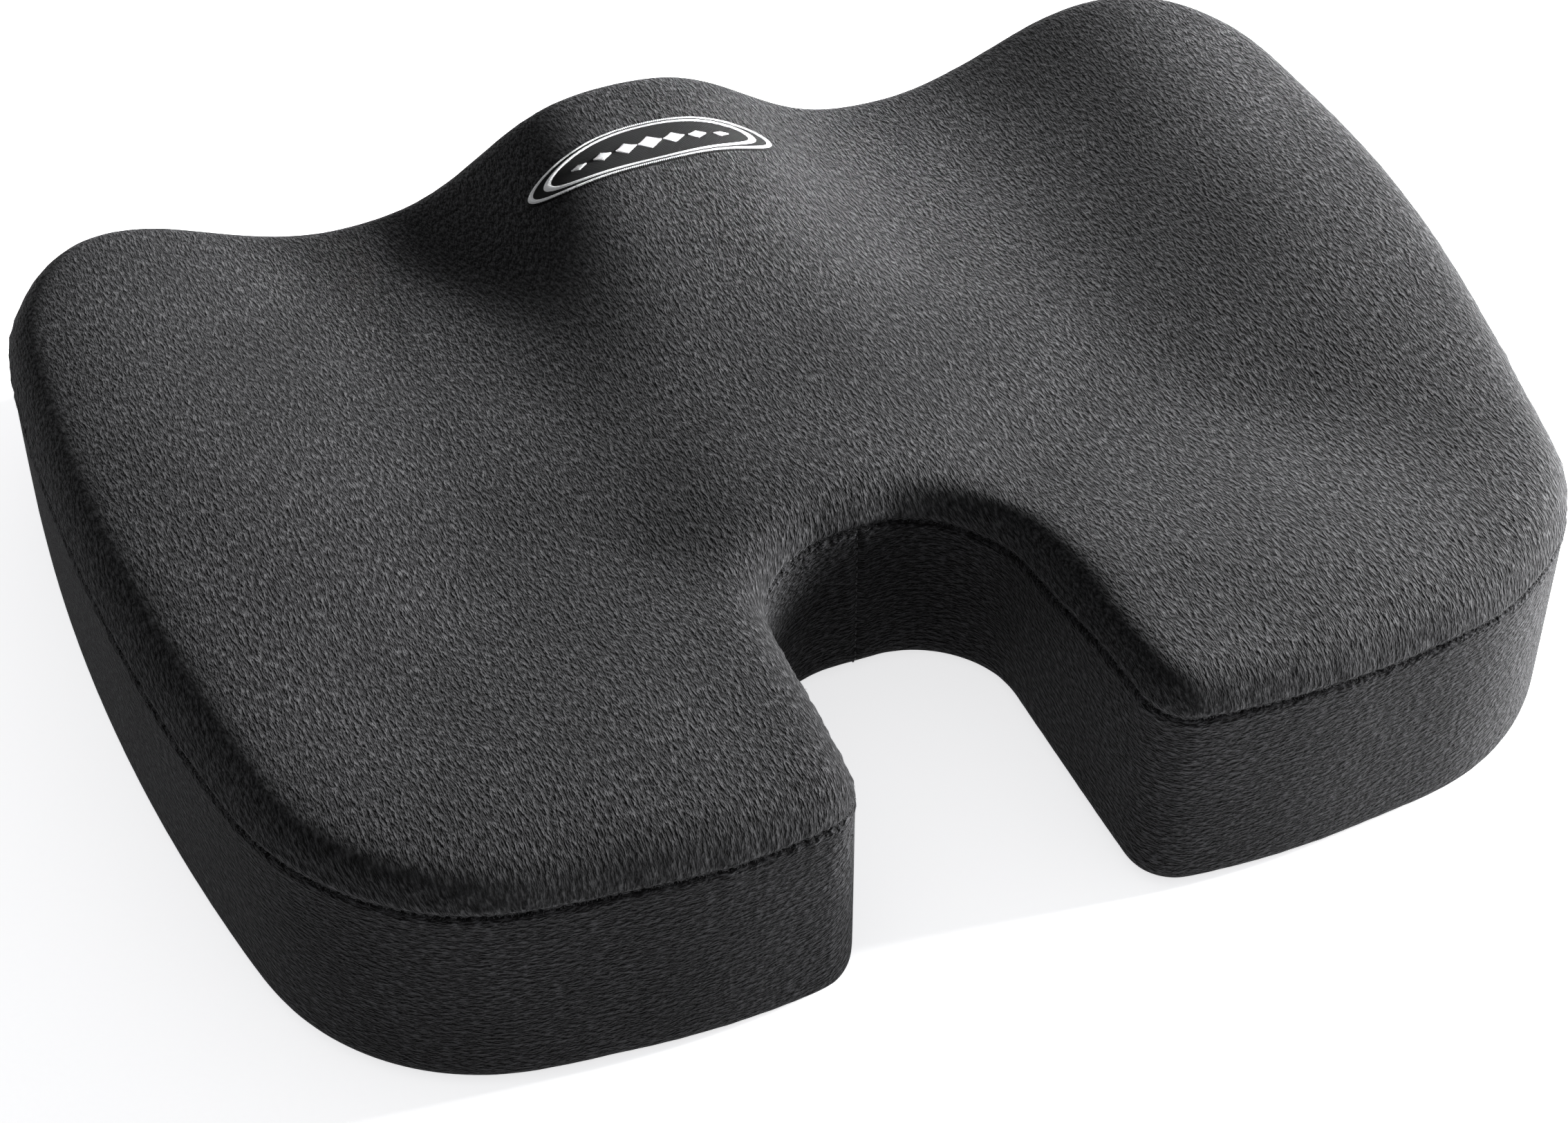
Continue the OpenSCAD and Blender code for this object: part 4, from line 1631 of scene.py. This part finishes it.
@dataclass
class Zip:
    """The zip in the front wall: tapes, coils, stops, stitching, slider and pull.

    A sheet can't be declared under 10 mm wide, so a tape is declared that wide, with its true area.
    """

    cover: Cover
    least_flat: float = 10.0

    def build(self) -> None:
        """Makes the parts that stay, then the two that move."""
        self.build_tapes()
        self.build_coils()
        self.build_stitching()
        enamel = self.cover.material(ZIP_ENAMEL)
        for name, node, body, edge in (
            ("zip_stops_closed_end", "zip_top_stops", "cushion", 0.25),
            ("zip_stop_open_end", "zip_bottom_stop", "cushion", 0.3),
            ("zip_slider_body", "zip_slider", "slider", 0.12),
            ("zip_pull_tab", "zip_pull", "pull", 0.16),
        ):
            place(self.softened(name, node, edge), body, enamel, "zip_metal", (node,))

    def softened(self, name: str, node: str, edge: float) -> Piece:
        """Copies a cast part with its edges rounded.

        Args:
            name: The piece's name.
            node: The CAD node.
            edge: How far the edges are rounded, in millimetres.

        Returns:
            The piece.
        """
        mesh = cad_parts[node].data.copy()
        work = bmesh.new()
        work.from_mesh(mesh)
        bmesh.ops.remove_doubles(work, verts=work.verts, dist=0.002 * MM)
        bmesh.ops.dissolve_limit(work, angle_limit=math.radians(1), verts=work.verts, edges=work.edges)
        work.to_mesh(mesh)
        work.free()
        piece = bpy.data.objects.new(name, mesh)
        bpy.context.scene.collection.objects.link(piece)
        bevel = piece.modifiers.new("edge", "BEVEL")
        bevel.width = edge * MM
        bevel.segments = 2
        bevel.limit_method = "ANGLE"
        bevel.angle_limit = math.radians(35)
        applied(piece)
        piece.data.shade_smooth()
        piece.data.set_sharp_from_angle(angle=math.radians(40))
        return piece

    def build_tapes(self) -> None:
        """Makes the two woven tapes, with a faint wave along their free edges."""
        rows, columns = 200, 12
        for upper, node in ((True, "zip_tape_upper"), (False, "zip_tape_lower")):
            (x0, y0, z0), (x1, y1, z1) = box_mm(node)
            x, z = np.meshgrid(np.linspace(x0, x1, rows), np.linspace(z0, z1, columns), indexing="ij")
            free = (z - z0) / (z1 - z0) if upper else (z1 - z) / (z1 - z0)
            y = y1 - 0.15 * free * (1 + ripple(x, (17, 31, 53)))
            points = np.column_stack([x.ravel(), y.ravel(), z.ravel()])
            tape = new_mesh(f"{node}_cloth", points, grid_faces(rows, columns))
            thickened(tape, 0.8 * (y1 - y0), offset=1)
            place(tape, "cushion", self.cover.material(ZIP_TAPE), "zip_tape", (node,))

    def build_coils(self) -> None:
        """Winds the two coils, half a turn apart so that their loops pass each other."""
        pitch, wire = 1.25, 0.24
        for phase, node in ((0.0, "zip_coil_upper"), (math.pi, "zip_coil_lower")):
            (x0, y0, z0), (x1, y1, z1) = box_mm(node)
            turns = (x1 - x0 - 2 * wire) / pitch
            t = np.linspace(0, 2 * math.pi * turns, int(turns * 14))
            radius = (z1 - z0) / 2
            path = np.stack(
                [
                    x0 + wire + pitch * t / (2 * math.pi),
                    (y0 + y1) / 2 + (radius - wire) * np.cos(t + phase),
                    (z0 + z1) / 2 + radius * np.sin(t + phase),
                ],
                axis=1,
            )
            radii = np.full(len(path), wire)
            radii[[0, -1]] = 0.02
            coil = joined(f"{node}_wound", [strand(path, radii, 6, np.array([1.0, 0, 0]))])
            place(coil, "cushion", self.cover.material(ZIP_NYLON), "zip_coil", (node,))

    def build_stitching(self) -> None:
        """Sews a row of stitches along each tape, through the bands."""
        (x0, y0, z0), (x1, y1, z1) = box_mm("zip_stitching")
        x = np.linspace(x0, x1, 60)
        out = np.tile([0, 1.0, 0], (len(x), 1))
        shapes = []
        for z in (z0 + 0.2, z1 - 0.2):
            line = np.column_stack([x, np.full_like(x, y0 + 0.1), np.full_like(x, z)])
            shapes += stitch_row(line, out, pitch=4.0, gap=0.9, radius=0.22, arch=0.2)
        row = joined("zip_tape_stitches", shapes)
        place(row, "cushion", self.cover.material(SEWING_THREAD), "thread", ("zip_stitching",))


# ------------------------------------------------------------------ the studio


@dataclass(frozen=True)
class Lamp:
    """A soft rectangular light that faces the cushion."""

    name: str
    place: tuple[float, float, float]
    aim: tuple[float, float, float]
    size: tuple[float, float]
    watts: float
    spread: float = 180.0

    def build(self) -> None:
        """Adds the light to the scene."""
        data = bpy.data.lights.new(self.name, "AREA")
        data.shape = "RECTANGLE"
        data.size, data.size_y = self.size
        data.energy = self.watts
        data.spread = math.radians(self.spread)
        lamp = bpy.data.objects.new(self.name, data)
        lamp.location = self.place
        lamp.rotation_euler = (Vector(self.aim) - Vector(self.place)).to_track_quat("-Z", "Y").to_euler()
        bpy.context.scene.collection.objects.link(lamp)


@dataclass
class Studio:
    """The camera, the pale floor and the soft lights."""

    azimuth: float = -21.44
    elevation: float = 44.52
    distance: float = 1.0719
    target: tuple[float, float, float] = (-0.0141, -0.0311, 0.0304)
    lens: float = 79.13
    air_strength: float = 0.36
    floor_glow: float = 0.74
    lamps: tuple[Lamp, ...] = (
        Lamp("key_right", (0.88, -0.02, 0.39), (0.0, 0.0, 0.03), (0.55, 0.3), 74.0),
        Lamp("accent_right", (0.78, 0.02, 0.4), (0.06, 0.11, 0.06), (0.1, 0.1), 0.2, 12.0),
        Lamp("strip_right", (0.9, -0.12, 0.16), (0.2, -0.08, 0.04), (0.4, 0.16), 5.0),
    )

    def build(self) -> None:
        """Makes the floor, the lights and the camera."""
        self.build_floor()
        for lamp in self.lamps:
            lamp.build()
        world = bpy.data.worlds.new("studio_air")
        world.use_nodes = True
        air = world.node_tree.nodes["Background"]
        air.inputs["Color"].default_value = linear("#f4f5f7")
        air.inputs["Strength"].default_value = self.air_strength
        scene = bpy.context.scene
        scene.world = world
        scene.view_settings.view_transform = "Standard"
        a, e = math.radians(self.azimuth), math.radians(self.elevation)
        away = Vector((math.sin(a) * math.cos(e), -math.cos(a) * math.cos(e), math.sin(e)))
        data = bpy.data.cameras.new("camera")
        data.lens = self.lens
        data.clip_start = 0.05
        camera = bpy.data.objects.new("camera", data)
        camera.location = Vector(self.target) + away * self.distance
        camera.rotation_euler = (-away).to_track_quat("-Z", "Y").to_euler()
        scene.collection.objects.link(camera)
        scene.camera = camera

    def build_floor(self) -> None:
        """Lays a wide pale floor under the cushion."""
        reach = 6000.0
        corners = reach * np.array([[-1, -1, 0], [1, -1, 0], [1, 1, 0], [-1, 1, 0]])
        floor = new_mesh("floor", corners, [[0, 1, 2, 3]])
        paper = Graph("backdrop_paper")
        tooth = paper.noise(paper.object_coordinates((1.5, 1.5, 1.5)), 3.0, 0.6)
        tone = paper.ramp(tooth, [(0.3, "#f3f3f4"), (0.7, "#fafafa")])
        glow = {"Emission Color": linear("#fafafb"), "Emission Strength": self.floor_glow}
        paper.feed(paper.shader, {"Base Color": tone, "Roughness": 0.9, "Specular IOR Level": 0.1, **glow})
        floor.data.materials.append(paper.material)


def contour_from_frame() -> Contour:
    """Reads the cushion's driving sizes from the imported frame.

    Returns:
        The contour.
    """
    front = box_mm("front_band_upper")
    sides = box_mm("top_panel")
    gap_low, gap_high = box_mm("front_band_lower")[1, 2], front[0, 2]
    return Contour(
        front_y=float(front[1, 1]),
        rear_y=float(front[1, 1]) - DEPTH,
        half_w=WIDTH / 2 * float(sides[1, 0] - sides[0, 0]) / TOP_PANEL_WIDTH,
        floor_z=float(box_mm("base_panel")[0, 2]),
        zip_low=float(gap_low),
        zip_high=float(gap_high),
    )


def main() -> None:
    """Builds the studio and the cushion."""
    logging.basicConfig(level=logging.INFO, format="%(message)s")
    Studio().build()
    cover = Cover(contour_from_frame())
    cover.build()
    for part in (Underside(cover), Patch(cover), Zip(cover)):
        part.build()


if __name__ == "__main__":
    main()
